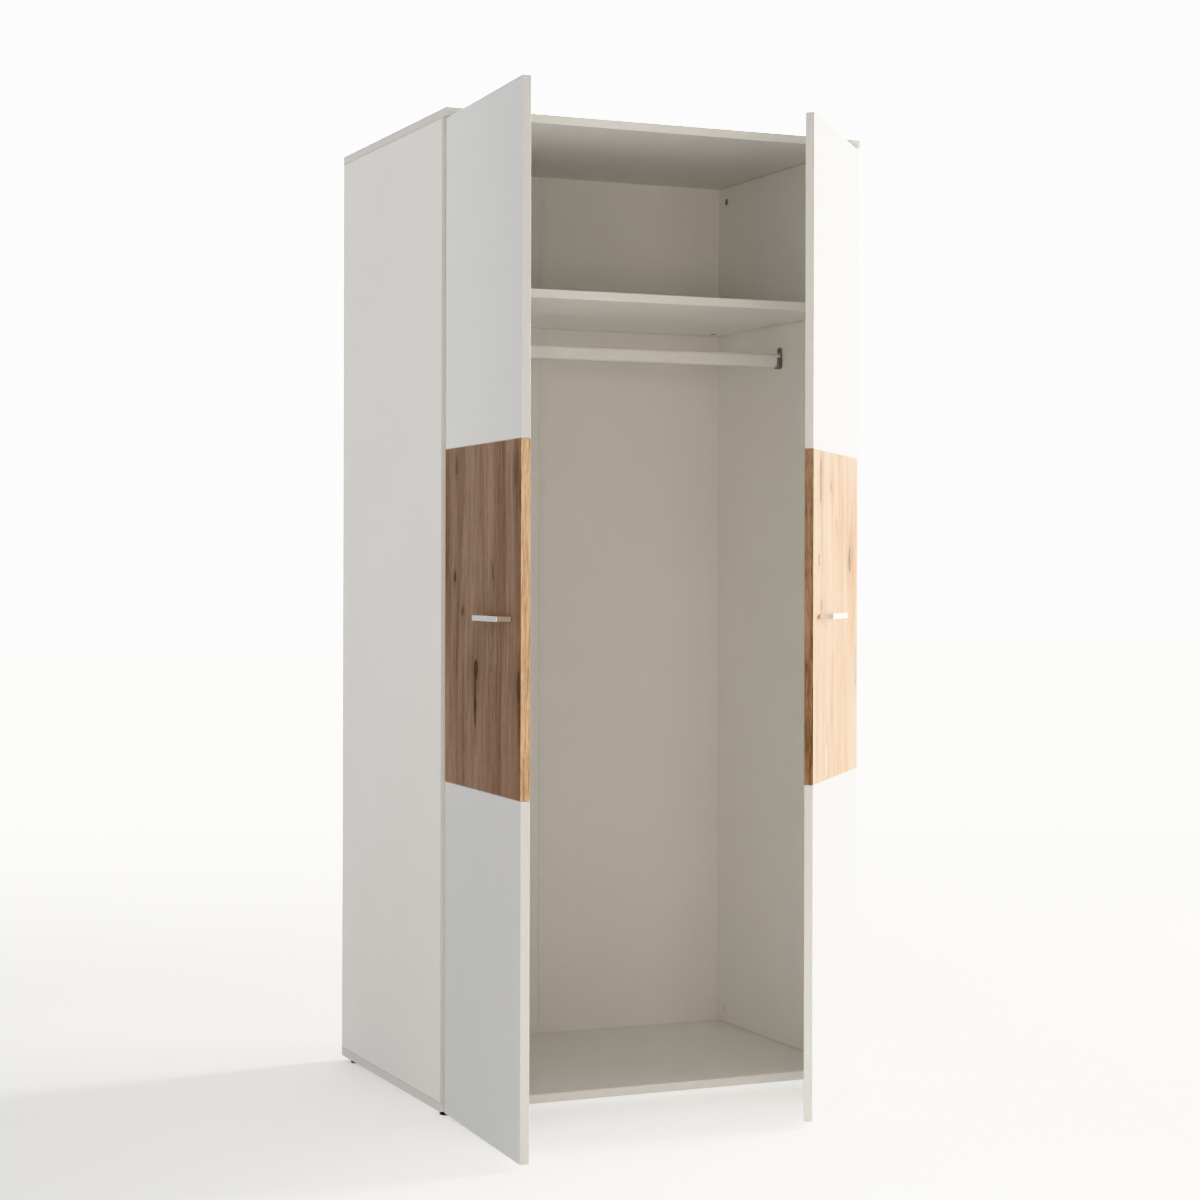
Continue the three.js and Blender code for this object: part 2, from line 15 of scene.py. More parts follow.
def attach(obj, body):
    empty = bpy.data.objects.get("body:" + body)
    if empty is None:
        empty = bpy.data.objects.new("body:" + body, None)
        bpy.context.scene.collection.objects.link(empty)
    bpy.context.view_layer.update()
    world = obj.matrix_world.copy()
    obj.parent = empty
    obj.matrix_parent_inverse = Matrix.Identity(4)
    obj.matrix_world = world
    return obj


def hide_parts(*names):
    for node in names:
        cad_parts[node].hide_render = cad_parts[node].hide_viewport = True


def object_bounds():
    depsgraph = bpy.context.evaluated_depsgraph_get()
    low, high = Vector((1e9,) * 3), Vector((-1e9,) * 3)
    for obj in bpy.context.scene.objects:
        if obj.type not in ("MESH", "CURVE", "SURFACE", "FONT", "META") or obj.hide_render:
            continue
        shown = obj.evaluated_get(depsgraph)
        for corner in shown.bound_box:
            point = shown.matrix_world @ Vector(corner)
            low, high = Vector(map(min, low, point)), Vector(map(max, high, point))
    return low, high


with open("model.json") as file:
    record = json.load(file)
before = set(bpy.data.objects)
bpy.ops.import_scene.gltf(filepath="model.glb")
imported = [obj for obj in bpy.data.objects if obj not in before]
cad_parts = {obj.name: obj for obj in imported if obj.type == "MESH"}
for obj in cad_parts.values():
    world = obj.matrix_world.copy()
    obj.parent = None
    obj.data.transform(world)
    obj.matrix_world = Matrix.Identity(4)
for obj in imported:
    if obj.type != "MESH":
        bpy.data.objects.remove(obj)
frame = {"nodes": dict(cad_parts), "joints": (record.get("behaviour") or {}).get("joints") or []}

CAD_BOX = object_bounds()

MM = 0.001
SIDES = {"left": -1, "right": 1}
CORNERS = [(name, row) for name in SIDES for row in ("front", "rear")]
X, Y, Z = Vector((1, 0, 0)), Vector((0, 1, 0)), Vector((0, 0, 1))

# ---------------- where things are


class Place:
    """A body's own upright and closed coordinates, and where they stand at rest."""

    def __init__(self, body):
        self.body = body
        self.datum = Vector()
        self.opening = Matrix.Identity(4)
        joint = next((j for j in frame["joints"] if j["child"] == body), None)
        if joint:
            pivot = Vector(joint["pos_m"])
            self.datum = Vector((pivot.x, pivot.y, 0))
            closing_angle = math.radians(joint["range_deg"][0])
            turn = Matrix.Rotation(-closing_angle, 4, Vector(joint["axis"]))
            self.opening = Matrix.Translation(pivot) @ turn @ Matrix.Translation(-pivot)
        self.matrix = self.opening @ Matrix.Translation(self.datum)

    def span(self, node):
        """Lowest and highest corner of a CAD node in these coordinates."""
        to_local = self.matrix.inverted()
        points = [to_local @ vertex.co for vertex in frame["nodes"][node].data.vertices]
        low = Vector([min(p[axis] for p in points) for axis in range(3)])
        high = Vector([max(p[axis] for p in points) for axis in range(3)])
        return low, high


CARCASS = Place("carcass")
DOORS = {name: Place(f"{name}_door") for name in SIDES}


def aim(origin, outward, across):
    """A matrix whose z runs outward and whose x runs across."""
    z = outward.normalized()
    x = across.normalized()
    turn = Matrix((x, z.cross(x), z)).transposed()
    return Matrix.Translation(origin) @ turn.to_4x4()


# ---------------- mesh building

# Edges that turn less than this are part of a curve and stay as they are.
ROUNDED_EDGE_ANGLE = math.radians(25)
MERGE_DISTANCE = 1e-7


def mesh_builder(build):
    """Lets a function that adds faces take the material index that they get."""
    def run(bm, *shape, material=0, **options):
        before = set(bm.faces)
        build(bm, *shape, **options)
        for face in bm.faces:
            if face not in before:
                face.material_index = material
    return run


def skin(bm, rings):
    """Faces from each ring of vertices to the next. A ring may be a single vertex."""
    faces = []
    for lower, upper in zip(rings, rings[1:]):
        count = max(len(lower), len(upper))
        for step in range(count):
            after = (step + 1) % count
            corners = [lower[step % len(lower)], lower[after % len(lower)]]
            corners += [upper[after % len(upper)], upper[step % len(upper)]]
            faces.append(bm.faces.new(list(dict.fromkeys(corners))))
    return faces


def round_edges(bm, edges, radius, segments):
    bmesh.ops.bevel(bm, geom=edges, offset=radius, segments=segments, profile=0.5, affect="EDGES")


@mesh_builder
def add_box(bm, low, high, bevel=0.0, segments=3):
    place = Matrix.Translation((low + high) / 2) @ Matrix.Diagonal((*(high - low), 1))
    verts = bmesh.ops.create_cube(bm, size=1, matrix=place)["verts"]
    if bevel:
        round_edges(bm, list({edge for vert in verts for edge in vert.link_edges}), bevel, segments)


@mesh_builder
def add_lathe(bm, profile, matrix, segments=48):
    """Turns a profile of (radius, height) points about z. It starts and ends on the axis."""
    rings = []
    for radius, height in profile:
        turns = [math.tau * step / segments for step in range(segments if radius > 0 else 1)]
        points = [(radius * math.cos(turn), radius * math.sin(turn), height) for turn in turns]
        rings.append([bm.verts.new(matrix @ Vector(point)) for point in points])
    skin(bm, rings)


@mesh_builder
def add_prism(bm, outline, low, high, matrix, bevel=0.0, segments=3):
    """Extrudes an outline in x and y from height low to height high, with every edge rounded."""
    bottom, top = (
        [bm.verts.new(matrix @ Vector((x, y, height))) for x, y in outline] for height in (low, high)
    )
    faces = [bm.faces.new(bottom), bm.faces.new(top), *skin(bm, [bottom, top])]
    bmesh.ops.recalc_face_normals(bm, faces=faces)
    if bevel:
        edges = {edge for face in faces for edge in face.edges}
        sharp = [edge for edge in edges if edge.calc_face_angle(0) > ROUNDED_EDGE_ANGLE]
        round_edges(bm, sharp, bevel, segments)


def rounded_rectangle(width, height, radius, steps=8, centre=(0, 0)):
    points = []
    for corner, (sx, sy) in enumerate(((1, 1), (-1, 1), (-1, -1), (1, -1))):
        for step in range(steps + 1):
            angle = math.pi / 2 * (corner + step / steps)
            points.append((
                centre[0] + sx * (width / 2 - radius) + radius * math.cos(angle),
                centre[1] + sy * (height / 2 - radius) + radius * math.sin(angle),
            ))
    return points


def to_mesh(name, bm, materials):
    bmesh.ops.remove_doubles(bm, verts=bm.verts, dist=MERGE_DISTANCE)
    bmesh.ops.recalc_face_normals(bm, faces=bm.faces)
    mesh = bpy.data.meshes.new(name)
    bm.to_mesh(mesh)
    bm.free()
    for material in materials:
        mesh.materials.append(material)
    return mesh


def add_object(name, data):
    obj = bpy.data.objects.new(name, data)
    bpy.context.scene.collection.objects.link(obj)
    return obj


def reopened(mesh):
    """The mesh as one that can be added to."""
    bm = bmesh.new()
    bm.from_mesh(mesh)
    return bm


def carve(mesh, cutters):
    """The mesh less each cutter mesh. A cut face keeps the cutter's own material."""
    body = add_object("carved", mesh)
    tools = []
    for index, cutter in enumerate(cutters):
        tool = add_object(f"cutter_{index}", cutter)
        tools.append(tool)
        modifier = body.modifiers.new(f"cut_{index}", "BOOLEAN")
        modifier.operation = "DIFFERENCE"
        modifier.solver = "EXACT"
        modifier.material_mode = "TRANSFER"
        modifier.object = tool
    carved = bpy.data.meshes.new_from_object(body.evaluated_get(bpy.context.evaluated_depsgraph_get()))
    for obj in [body, *tools]:
        bpy.data.objects.remove(obj)
    return carved


def place_piece(name, mesh, place, replaced=(), smooth_angle=35):
    """Puts a mesh in the scene on its body, in place of the CAD nodes that it stands for."""
    for polygon in mesh.polygons:
        polygon.use_smooth = True
    mesh.set_sharp_from_angle(angle=math.radians(smooth_angle))
    piece = add_object(name, mesh)
    piece.matrix_world = place.matrix
    weighted = piece.modifiers.new("even_shading", "WEIGHTED_NORMAL")
    weighted.keep_sharp = True
    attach(piece, place.body)
    if replaced:
        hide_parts(*replaced)
    return piece


# ---------------- material building


class Nodes:
    """Short ways to add nodes to a tree and to join them up."""

    def __init__(self, tree):
        self.tree = tree

    def add(self, kind, inputs=None, **settings):
        node = self.tree.nodes.new(kind)
        for key, value in settings.items():
            setattr(node, key, value)
        for key, value in (inputs or {}).items():
            self.feed(node.inputs[key], value)
        return node

    def feed(self, socket, value):
        if isinstance(value, bpy.types.NodeSocket):
            self.tree.links.new(value, socket)
        else:
            socket.default_value = value

    def axes(self, vector):
        return self.add("ShaderNodeSeparateXYZ", {"Vector": vector}).outputs

    def math(self, operation, *values):
        node = self.add("ShaderNodeMath", operation=operation)
        for socket, value in zip(node.inputs, values):
            self.feed(socket, value)
        return node.outputs["Value"]

    def plus(self, first, second):
        return self.math("ADD", first, second)

    def minus(self, first, second):
        return self.math("SUBTRACT", first, second)

    def times(self, first, second):
        return self.math("MULTIPLY", first, second)

    def oval(self, across, along, half_width, half_height):
        """Zero in the middle of an oval and one on its rim."""
        parts = [
            self.math("POWER", self.math("DIVIDE", distance, half), 2.0)
            for distance, half in ((across, half_width), (along, half_height))
        ]
        return self.plus(*parts)

    def fading(self, reach):
        """One in the middle of an oval, and next to nothing well outside it."""
        return self.math("EXPONENT", self.times(reach, -1.0))

    def remap(self, value, low, high, to_low, to_high, smooth=False):
        inputs = {
            "Value": value, "From Min": low, "From Max": high,
            "To Min": to_low, "To Max": to_high,
        }
        interpolation = "SMOOTHSTEP" if smooth else "LINEAR"
        return self.add("ShaderNodeMapRange", inputs, interpolation_type=interpolation).outputs["Result"]

    def mix(self, amount, first, second):
        node = self.add("ShaderNodeMix", data_type="RGBA")
        self.feed(node.inputs["Factor"], amount)
        for index, value in ((6, first), (7, second)):
            constant = not isinstance(value, bpy.types.NodeSocket)
            self.feed(node.inputs[index], (*value, 1) if constant else value)
        return node.outputs[2]

    def ramp(self, value, stops):
        node = self.add("ShaderNodeValToRGB", {"Fac": value})
        elements = node.color_ramp.elements
        while len(elements) < len(stops):
            elements.new(0.5)
        for element, (position, colour) in zip(elements, stops):
            element.position = position
            element.color = (*colour, 1)
        return node.outputs["Color"]


class Finish(Nodes):
    """A node material with a Principled shader. Its textures use object coordinates."""

    def __init__(self, name, **values):
        self.material = bpy.data.materials.new(name)
        self.material.use_nodes = True
        super().__init__(self.material.node_tree)
        self.shader = self.tree.nodes["Principled BSDF"]
        for key, value in values.items():
            self.use(key.replace("_", " "), value)
        self.coords = self.add("ShaderNodeTexCoord").outputs["Object"]

    def use(self, key, value):
        self.feed(self.shader.inputs[key], value)

    def stretched(self, scale, shift=(0, 0, 0), vector=None):
        inputs = {"Vector": vector or self.coords, "Scale": scale, "Location": shift}
        return self.add("ShaderNodeMapping", inputs).outputs["Vector"]

    def noise(self, scale, detail=2.0, rough=0.5, distortion=0.0, shift=(0, 0, 0), vector=None):
        """Noise with one scale, or with a scale along each axis."""
        scales = scale if isinstance(scale, tuple) else (scale, scale, scale)
        inputs = {
            "Vector": self.stretched(scales, shift, vector), "Scale": 1.0,
            "Detail": detail, "Roughness": rough, "Distortion": distortion,
        }
        return self.add("ShaderNodeTexNoise", inputs).outputs["Fac"]

    def blend(self, field, low, high, light, dark):
        """Base colour that goes from one tone to another as the field rises."""
        self.use("Base Color", self.mix(self.remap(field, low, high, 0, 1), light, dark))

    def polish(self, field, smooth, rough, low=0.3, high=0.7):
        """Roughness that goes from one value to another as the field rises."""
        self.use("Roughness", self.remap(field, low, high, smooth, rough))

    def bump(self, layers):
        """Stacks bump layers of (height, distance in metres)."""
        normal = None
        for height, distance in layers:
            inputs = {"Height": height, "Distance": distance, "Strength": 1.0}
            if normal:
                inputs["Normal"] = normal
            normal = self.add("ShaderNodeBump", inputs).outputs["Normal"]
        self.use("Normal", normal)


def board_finish(name, light, dark, roughness, grain, lustre):
    """Printed melamine: faint cloudy tone, and a fine pearl texture that breaks up its sheen."""
    finish = Finish(name)
    cloud = finish.noise(5, detail=4)
    finish.blend(cloud, 0.3, 0.7, light, dark)
    pearl = finish.noise(700, detail=3, rough=0.65)
    finish.polish(pearl, roughness - lustre, roughness + lustre)
    wave = finish.noise(40, detail=2)
    finish.bump([(wave, 0.3 * grain), (pearl, grain)])
    return finish.material


def band_finish(name, light, dark, roughness):
    """Plastic edge band, with faint lines along it from the roller and the trimming knife."""
    finish = Finish(name)
    lines = finish.noise((900, 900, 6), detail=2)
    finish.blend(lines, 0.35, 0.7, light, dark)
    finish.polish(lines, roughness - 0.06, roughness + 0.08)
    finish.bump([(lines, 0.03 * MM)])
    return finish.material


def gloss_finish():
    """High gloss laminate: a mirror-like skin with a very slight waviness."""
    finish = Finish("door_gloss_white", Coat_Weight=0.25, Coat_Roughness=0.03)
    cloud = finish.noise(3, detail=3)
    finish.blend(cloud, 0.35, 0.65, (0.715, 0.717, 0.71), (0.7, 0.702, 0.696))
    haze = finish.noise(160, detail=4)
    finish.polish(haze, 0.1, 0.17, high=0.75)
    swell = finish.noise(14, detail=1)
    finish.bump([(swell, 0.12 * MM), (haze, 0.006 * MM)])
    return finish.material


def chipboard_finish():
    """The bare core of a board: pressed chips of mixed size and tone."""
    finish = Finish("chipboard_core")
    chips = finish.add("ShaderNodeTexVoronoi", {"Vector": finish.stretched((420, 420, 900))})
    tone = finish.add("ShaderNodeSeparateColor", {"Color": chips.outputs["Color"]}).outputs["Red"]
    finish.use("Base Color", finish.ramp(tone, (
        (0.0, (0.22, 0.135, 0.07)), (0.35, (0.4, 0.27, 0.15)),
        (0.7, (0.52, 0.37, 0.22)), (1.0, (0.62, 0.47, 0.3)),
    )))
    finish.polish(tone, 0.8, 0.95, 0, 1)
    finish.bump([(tone, 0.25 * MM)])
    return finish.material


def hardboard_finish():
    """The unprinted rear of the back board: brown pressed fibre."""
    finish = Finish("hardboard_rear")
    fibre = finish.noise(260, detail=6, rough=0.7)
    cloud = finish.noise(7, detail=3)
    tone = finish.plus(finish.times(fibre, 0.7), finish.times(cloud, 0.3))
    finish.use("Base Color", finish.ramp(tone, (
        (0.3, (0.15, 0.085, 0.045)), (0.5, (0.26, 0.155, 0.085)), (0.7, (0.38, 0.245, 0.145)),
    )))
    finish.polish(fibre, 0.62, 0.85)
    finish.bump([(fibre, 0.15 * MM)])
    return finish.material


# Noise fields of the oak: scale across and up the grain, detail, roughness and distortion.
OAK_FIELDS = {
    "figure": (9, 0.9, 3, 0.55, 1.2),
    "rings": (48, 2.6, 4, 0.55, 0.8),
    "streaks": (170, 9, 4, 0.6, 0.0),
    "fibre": (520, 30, 3, 0.6, 0.0),
    "ticks": (640, 42, 2, 0.55, 0.0),
    "checks": (120, 5.5, 4, 0.62, 0.4),
}
# How much each field adds to the tone, and where on the tone the four colours come.
OAK_SHARES = {"figure": 0.34, "rings": 0.2, "streaks": 0.2, "fibre": 0.26}
HALO_SHARE = -0.05
OAK_LEVELS = (0.42, 0.47, 0.52, 0.58)
# How far round a knot the grain bends, in half widths and half heights, and how strongly.
BEND_REACH = (3.2, 2.6)
BEND = -0.7


def oak_finish(name, tones, seed, knots=(), depth=1.0, roughness=0.42, sheen=0.3):
    """Upright oak grain that parts round each knot, with pores, checks and cracked dark knots.

    tones are the colours from the darkest to the lightest part of the figure. A knot is
    (x, z, half width, half height, darkness), in metres on the door. Its heart is black, but the
    last knot's is as grey as it is strong, and looks like a pale crack.
    """
    finish = Finish(name, Specular_IOR_Level=sheen)
    x, y, z = (finish.axes(finish.coords)[axis] for axis in "XYZ")
    shift = (seed, 0, seed)

    def swing(scale, amount, detail=3):
        """Noise about zero that swings this far each way."""
        field = finish.noise(scale, detail=detail, rough=0.6, shift=shift)
        return finish.times(finish.minus(field, 0.5), 2 * amount)

    warped = finish.plus(x, swing((2.6, 2.6, 1.3), 0.045, detail=2))
    ragged_x = finish.plus(x, finish.plus(swing(30, 0.006), swing((110, 110, 40), 0.0035)))
    ragged_z = finish.plus(z, swing((60, 60, 14), 0.012))
    cracks = finish.noise((300, 300, 16), detail=4, rough=0.65, shift=shift)
    cracks = finish.remap(cracks, 0.44, 0.6, 0.25, 1, smooth=True)
    hearts, halo = 0.0, 0.0
    for knot_x, knot_z, half_width, half_height, darkness in knots:
        across = finish.minus(x, knot_x)
        bend_size = BEND_REACH[0] * half_width, BEND_REACH[1] * half_height
        near = finish.oval(across, finish.minus(z, knot_z), *bend_size)
        pull = finish.fading(near)
        halo = finish.plus(halo, finish.times(pull, darkness))
        warped = finish.plus(warped, finish.times(finish.times(across, pull), BEND))
        ragged = finish.minus(ragged_x, knot_x), finish.minus(ragged_z, knot_z)
        reach = finish.oval(*ragged, half_width, half_height)
        rim = finish.math("ABSOLUTE", finish.minus(reach, 0.8))
        rim = finish.remap(rim, 0.0, 0.9, darkness, 0, smooth=True)
        core = finish.remap(reach, 0.3, 1.7, 0.8 * darkness, 0, smooth=True)
        heart = finish.times(finish.math("MAXIMUM", rim, core), cracks)
        hearts = finish.math("MAXIMUM", hearts, heart)
    flow = finish.add("ShaderNodeCombineXYZ", {"X": warped, "Y": y, "Z": z}).outputs["Vector"]

    fields = {}
    for key, (across_scale, up_scale, detail, rough, distortion) in OAK_FIELDS.items():
        scale = (across_scale, across_scale, up_scale)
        along = seed * 3.1, seed, seed * 1.7
        fields[key] = finish.noise(scale, detail, rough, distortion, along, flow)
    tone = finish.times(halo, HALO_SHARE)
    for key, share in OAK_SHARES.items():
        tone = finish.plus(tone, finish.times(fields[key], share))
    colour = finish.ramp(tone, list(zip(OAK_LEVELS, tones)))

    def shaded(amount, strength):
        """The colour so far, mixed with a share of the second darkest tone."""
        return finish.mix(amount, colour, tuple(strength * c for c in tones[1]))

    tick = finish.remap(fields["ticks"], 0.6, 0.72, 0, 0.45 * depth, smooth=True)
    colour = shaded(tick, 0.42)
    check = finish.remap(fields["checks"], 0.66, 0.75, 0, 0.55 * depth, smooth=True)
    colour = shaded(check, 0.4)
    if knots:
        colour = shaded(finish.times(finish.math("MINIMUM", halo, 1.0), 0.35), 0.55)
        colour = finish.mix(hearts, colour, heart)
    finish.use("Base Color", colour)
    finish.polish(tone, roughness + 0.08, roughness - 0.04, 0.35, 0.65)
    relief = finish.math("MAXIMUM", finish.math("MAXIMUM", tick, check), hearts)
    finish.bump([(tone, 0.1 * MM), (finish.times(relief, -1.0), 0.18 * MM)])
    return finish.material


def metal_finish(name, light, dark, roughness, scale, scratch=0.01):
    """Metal with fine lines at the given stretched scale, and slow changes of polish."""
    finish = Finish(name, Metallic=1.0)
    lines = finish.noise(scale, detail=4, rough=0.6)
    cloud = finish.noise(60, detail=2)
    finish.blend(cloud, 0.35, 0.65, light, dark)
    polish = finish.plus(finish.times(lines, 0.7), finish.times(cloud, 0.3))
    finish.polish(polish, roughness - 0.07, roughness + 0.09)
    finish.bump([(lines, scratch * MM)])
    return finish.material


def coated_finish(name, light, dark, roughness, scale, grain):
    """Powder coat or moulded plastic: an even colour under a fine all-over texture."""
    finish = Finish(name)
    texture = finish.noise(scale, detail=3, rough=0.6)
    cloud = finish.noise(25, detail=2)
    finish.blend(cloud, 0.35, 0.65, light, dark)
    finish.polish(texture, roughness - 0.05, roughness + 0.07)
    finish.bump([(texture, grain * MM)])
    return finish.material


# The two door faces are lit and shaded copies of one oak: the left face's tones are darkened for painted
# shade, the right face's lightened for painted light.
OAK_LEFT_PAINTED_SHADE = ((0.19, 0.108, 0.066), (0.258, 0.154, 0.098), (0.318, 0.198, 0.13), (0.385, 0.252, 0.172))
OAK_RIGHT_PAINTED_LIGHT = ((0.255, 0.158, 0.098), (0.375, 0.273, 0.19), (0.45, 0.352, 0.26), (0.51, 0.419, 0.325))
# The two doors' oak edge bands are lit and shaded copies of one oak: the left edge is lightened for painted
# light, the right edge darkened for painted shade.
OAK_EDGE_LEFT_PAINTED_LIGHT = ((0.36, 0.21, 0.105), (0.52, 0.335, 0.19), (0.65, 0.45, 0.275), (0.74, 0.545, 0.365))
OAK_EDGE_RIGHT_PAINTED_SHADE = ((0.15, 0.08, 0.042), (0.245, 0.143, 0.082), (0.33, 0.205, 0.122), (0.41, 0.27, 0.17))
KNOTS = {
    "left": (
        (0.196, 0.888, 0.011, 0.016, 1.0), (0.192, 0.835, 0.005, 0.045, 1.0),
        (0.452, 0.868, 0.010, 0.022, 1.0), (0.458, 0.820, 0.004, 0.030, 0.7),
        (0.430, 1.262, 0.008, 0.030, 0.6), (0.460, 1.205, 0.004, 0.022, 0.6),
        (0.072, 1.282, 0.005, 0.013, 0.8), (0.062, 1.067, 0.005, 0.009, 0.9),
        (0.112, 0.999, 0.005, 0.008, 0.7), (0.302, 1.075, 0.004, 0.014, 0.6),
        (0.287, 0.930, 0.003, 0.030, 0.5),
    ),
    "right": (
        (-0.060, 1.150, 0.018, 0.080, 0.5), (-0.085, 1.105, 0.012, 0.024, 1.0),
        (-0.290, 1.252, 0.010, 0.013, 1.0), (-0.408, 1.100, 0.011, 0.012, 1.0),
        (-0.010, 0.880, 0.020, 0.040, 0.9), (-0.275, 0.812, 0.007, 0.045, 0.8),
        (-0.395, 1.262, 0.013, 0.050, 0.8), (-0.380, 1.010, 0.008, 0.009, 0.8),
        (-0.230, 1.170, 0.012, 0.014, 0.6), (-0.330, 0.700, 0.010, 0.030, 0.7),
    ),
}

white_board = board_finish(
    "carcass_board", (0.845, 0.83, 0.803), (0.83, 0.815, 0.788), 0.46, 0.012 * MM, 0.06,
)
white_band = band_finish("edge_band_white", (0.728, 0.711, 0.678), (0.708, 0.691, 0.658), 0.38)
# A darker copy of the white edge band for the doors' edges: the extra darkness is painted shade.
door_edge_band_painted_shade = band_finish("white_door_edge_painted_shade", (0.64, 0.628, 0.606), (0.62, 0.608, 0.586), 0.38)
gloss_white = gloss_finish()
chipboard = chipboard_finish()
back_print = board_finish(
    "back_board", (0.785, 0.762, 0.722), (0.77, 0.747, 0.707), 0.6, 0.03 * MM, 0.08,
)
hardboard = hardboard_finish()
oak_faces = {
    # The left door's oak face, darkened for painted shade.
    "left": oak_finish(
        "door_oak_left_painted_shade", OAK_LEFT_PAINTED_SHADE, 3.0, KNOTS["left"], roughness=0.48, sheen=0.1,
    ),
    # The right door's oak face, lightened for painted light.
    "right": oak_finish(
        "door_oak_right_painted_light", OAK_RIGHT_PAINTED_LIGHT, 11.0, KNOTS["right"], roughness=0.52, sheen=0.02,
    ),
}
oak_bands = {
    # Left edge band: painted light. Right edge band: painted shade.
    "left": oak_finish("door_oak_edge_left_painted_light", OAK_EDGE_LEFT_PAINTED_LIGHT, 7.0, depth=1.3),
    "right": oak_finish("door_oak_edge_right_painted_shade", OAK_EDGE_RIGHT_PAINTED_SHADE, 5.0, depth=1.3),
}
strip_white = coated_finish("strip_plastic", (0.76, 0.75, 0.725), (0.735, 0.725, 0.7), 0.42, 500, 0.01)
rail_white = coated_finish("rail_coating", (0.8, 0.785, 0.755), (0.78, 0.765, 0.735), 0.34, 900, 0.02)
cast_zinc = metal_finish("cast_zinc", (0.42, 0.415, 0.405), (0.33, 0.325, 0.315), 0.48, 1500, 0.05)
nickel = metal_finish("hinge_steel", (0.66, 0.65, 0.63), (0.6, 0.59, 0.57), 0.26, 500, 0.004)
plate_zinc = metal_finish("plate_steel", (0.6, 0.605, 0.61), (0.52, 0.525, 0.53), 0.32, (30, 900, 900))
satin_metal = metal_finish("handle_metal", (0.8, 0.785, 0.755), (0.75, 0.735, 0.705), 0.33, (25, 1800, 1800))
dark_plastic = coated_finish("foot_plastic", (0.03, 0.03, 0.034), (0.02, 0.02, 0.023), 0.36, 800, 0.03)
pivot_steel = metal_finish("pivot_steel", (0.35, 0.345, 0.335), (0.29, 0.285, 0.275), 0.3, 700, 0.004)

# ---------------- holes and screws

HOLE_CHAMFER = 0.35 * MM
OVERRUN = 2 * MM
# A cross recess narrows to this share of its size at the bottom.
CROSS_TIP = 0.45


def hole_cutter(origin, outward, radius, depth, material=chipboard):
    """A drill for a hole with a slightly broken rim. Outward points out of the surface."""
    bm = bmesh.new()
    rim = radius + HOLE_CHAMFER
    profile = [
        (0, -depth), (radius, -depth), (radius, -HOLE_CHAMFER), (rim, 0), (rim, OVERRUN), (0, OVERRUN),
    ]
    add_lathe(bm, profile, aim(origin, outward, X if abs(outward.x) < 0.9 else Y))
    return to_mesh("hole", bm, [material])


def cross_cutter(origin, outward, across, size, material):
    """A cross recess with sloping ends, of length, width and depth in millimetres."""
    bm = bmesh.new()
    length, width, depth = (measure * MM for measure in size)
    arm, half = length / 2, width / 2
    outline = [
        (arm, -half), (arm, half), (half, half), (half, arm), (-half, arm), (-half, half),
        (-arm, half), (-arm, -half), (-half, -half), (-half, -arm), (half, -arm), (half, -half),
    ]
    matrix = aim(origin, outward, across)
    rings = [
        [bm.verts.new(matrix @ Vector((scale * x, scale * y, height))) for x, y in outline]
        for height, scale in ((-depth, CROSS_TIP), (0, 1.0), (depth, 1.0))
    ]
    skin(bm, rings)
    bm.faces.new(rings[0])
    bm.faces.new(rings[-1])
    return to_mesh("cross", bm, [material])


@mesh_builder
def add_screw_head(bm, origin, outward, across, radius, height):
    """A domed screw head. The recess is cut afterwards."""
    profile = [
        (0, -0.5 * height), (radius, -0.5 * height), (radius, 0), (radius, 0.25 * height),
        (0.93 * radius, 0.6 * height), (0.72 * radius, 0.9 * height),
        (0.4 * radius, height), (0, height),
    ]
    add_lathe(bm, profile, aim(origin, outward, across), segments=32)


def screwed(node, bm, materials, spots, outward, across, head, recess, cutters=()):
    """The mesh with a screw head at each spot, less other cutters.

    head is (radius, height) and recess is (length, width, depth), in millimetres. The last
    material is the screws'.
    """
    radius, height = (size * MM for size in head)
    for at in spots:
        add_screw_head(bm, at, outward, across, radius, height, material=len(materials) - 1)
    mesh = to_mesh(node, bm, materials)
    tops = [at + height * outward for at in spots]
    recesses = [cross_cutter(top, outward, across, recess, materials[-1]) for top in tops]
    return carve(mesh, [*recesses, *cutters])


# ---------------- cam fittings

CAM_RADIUS = 7.3 * MM
CAM_HOLE_RADIUS = 7.8 * MM
CAM_DEPTH = 12.3 * MM
CAM_HOLE_DEPTH = 13.2 * MM
CAM_RIM = 1.1 * MM
CAM_DISH = 0.7 * MM
CAM_CROSS = (8.2, 1.7, 2.6)
CAM_MARK = 4.9 * MM
BOLT_RADIUS = 3.0 * MM
BOLT_THREAD_LENGTH = 12 * MM
BOLT_THREAD_PITCH = 1.6 * MM


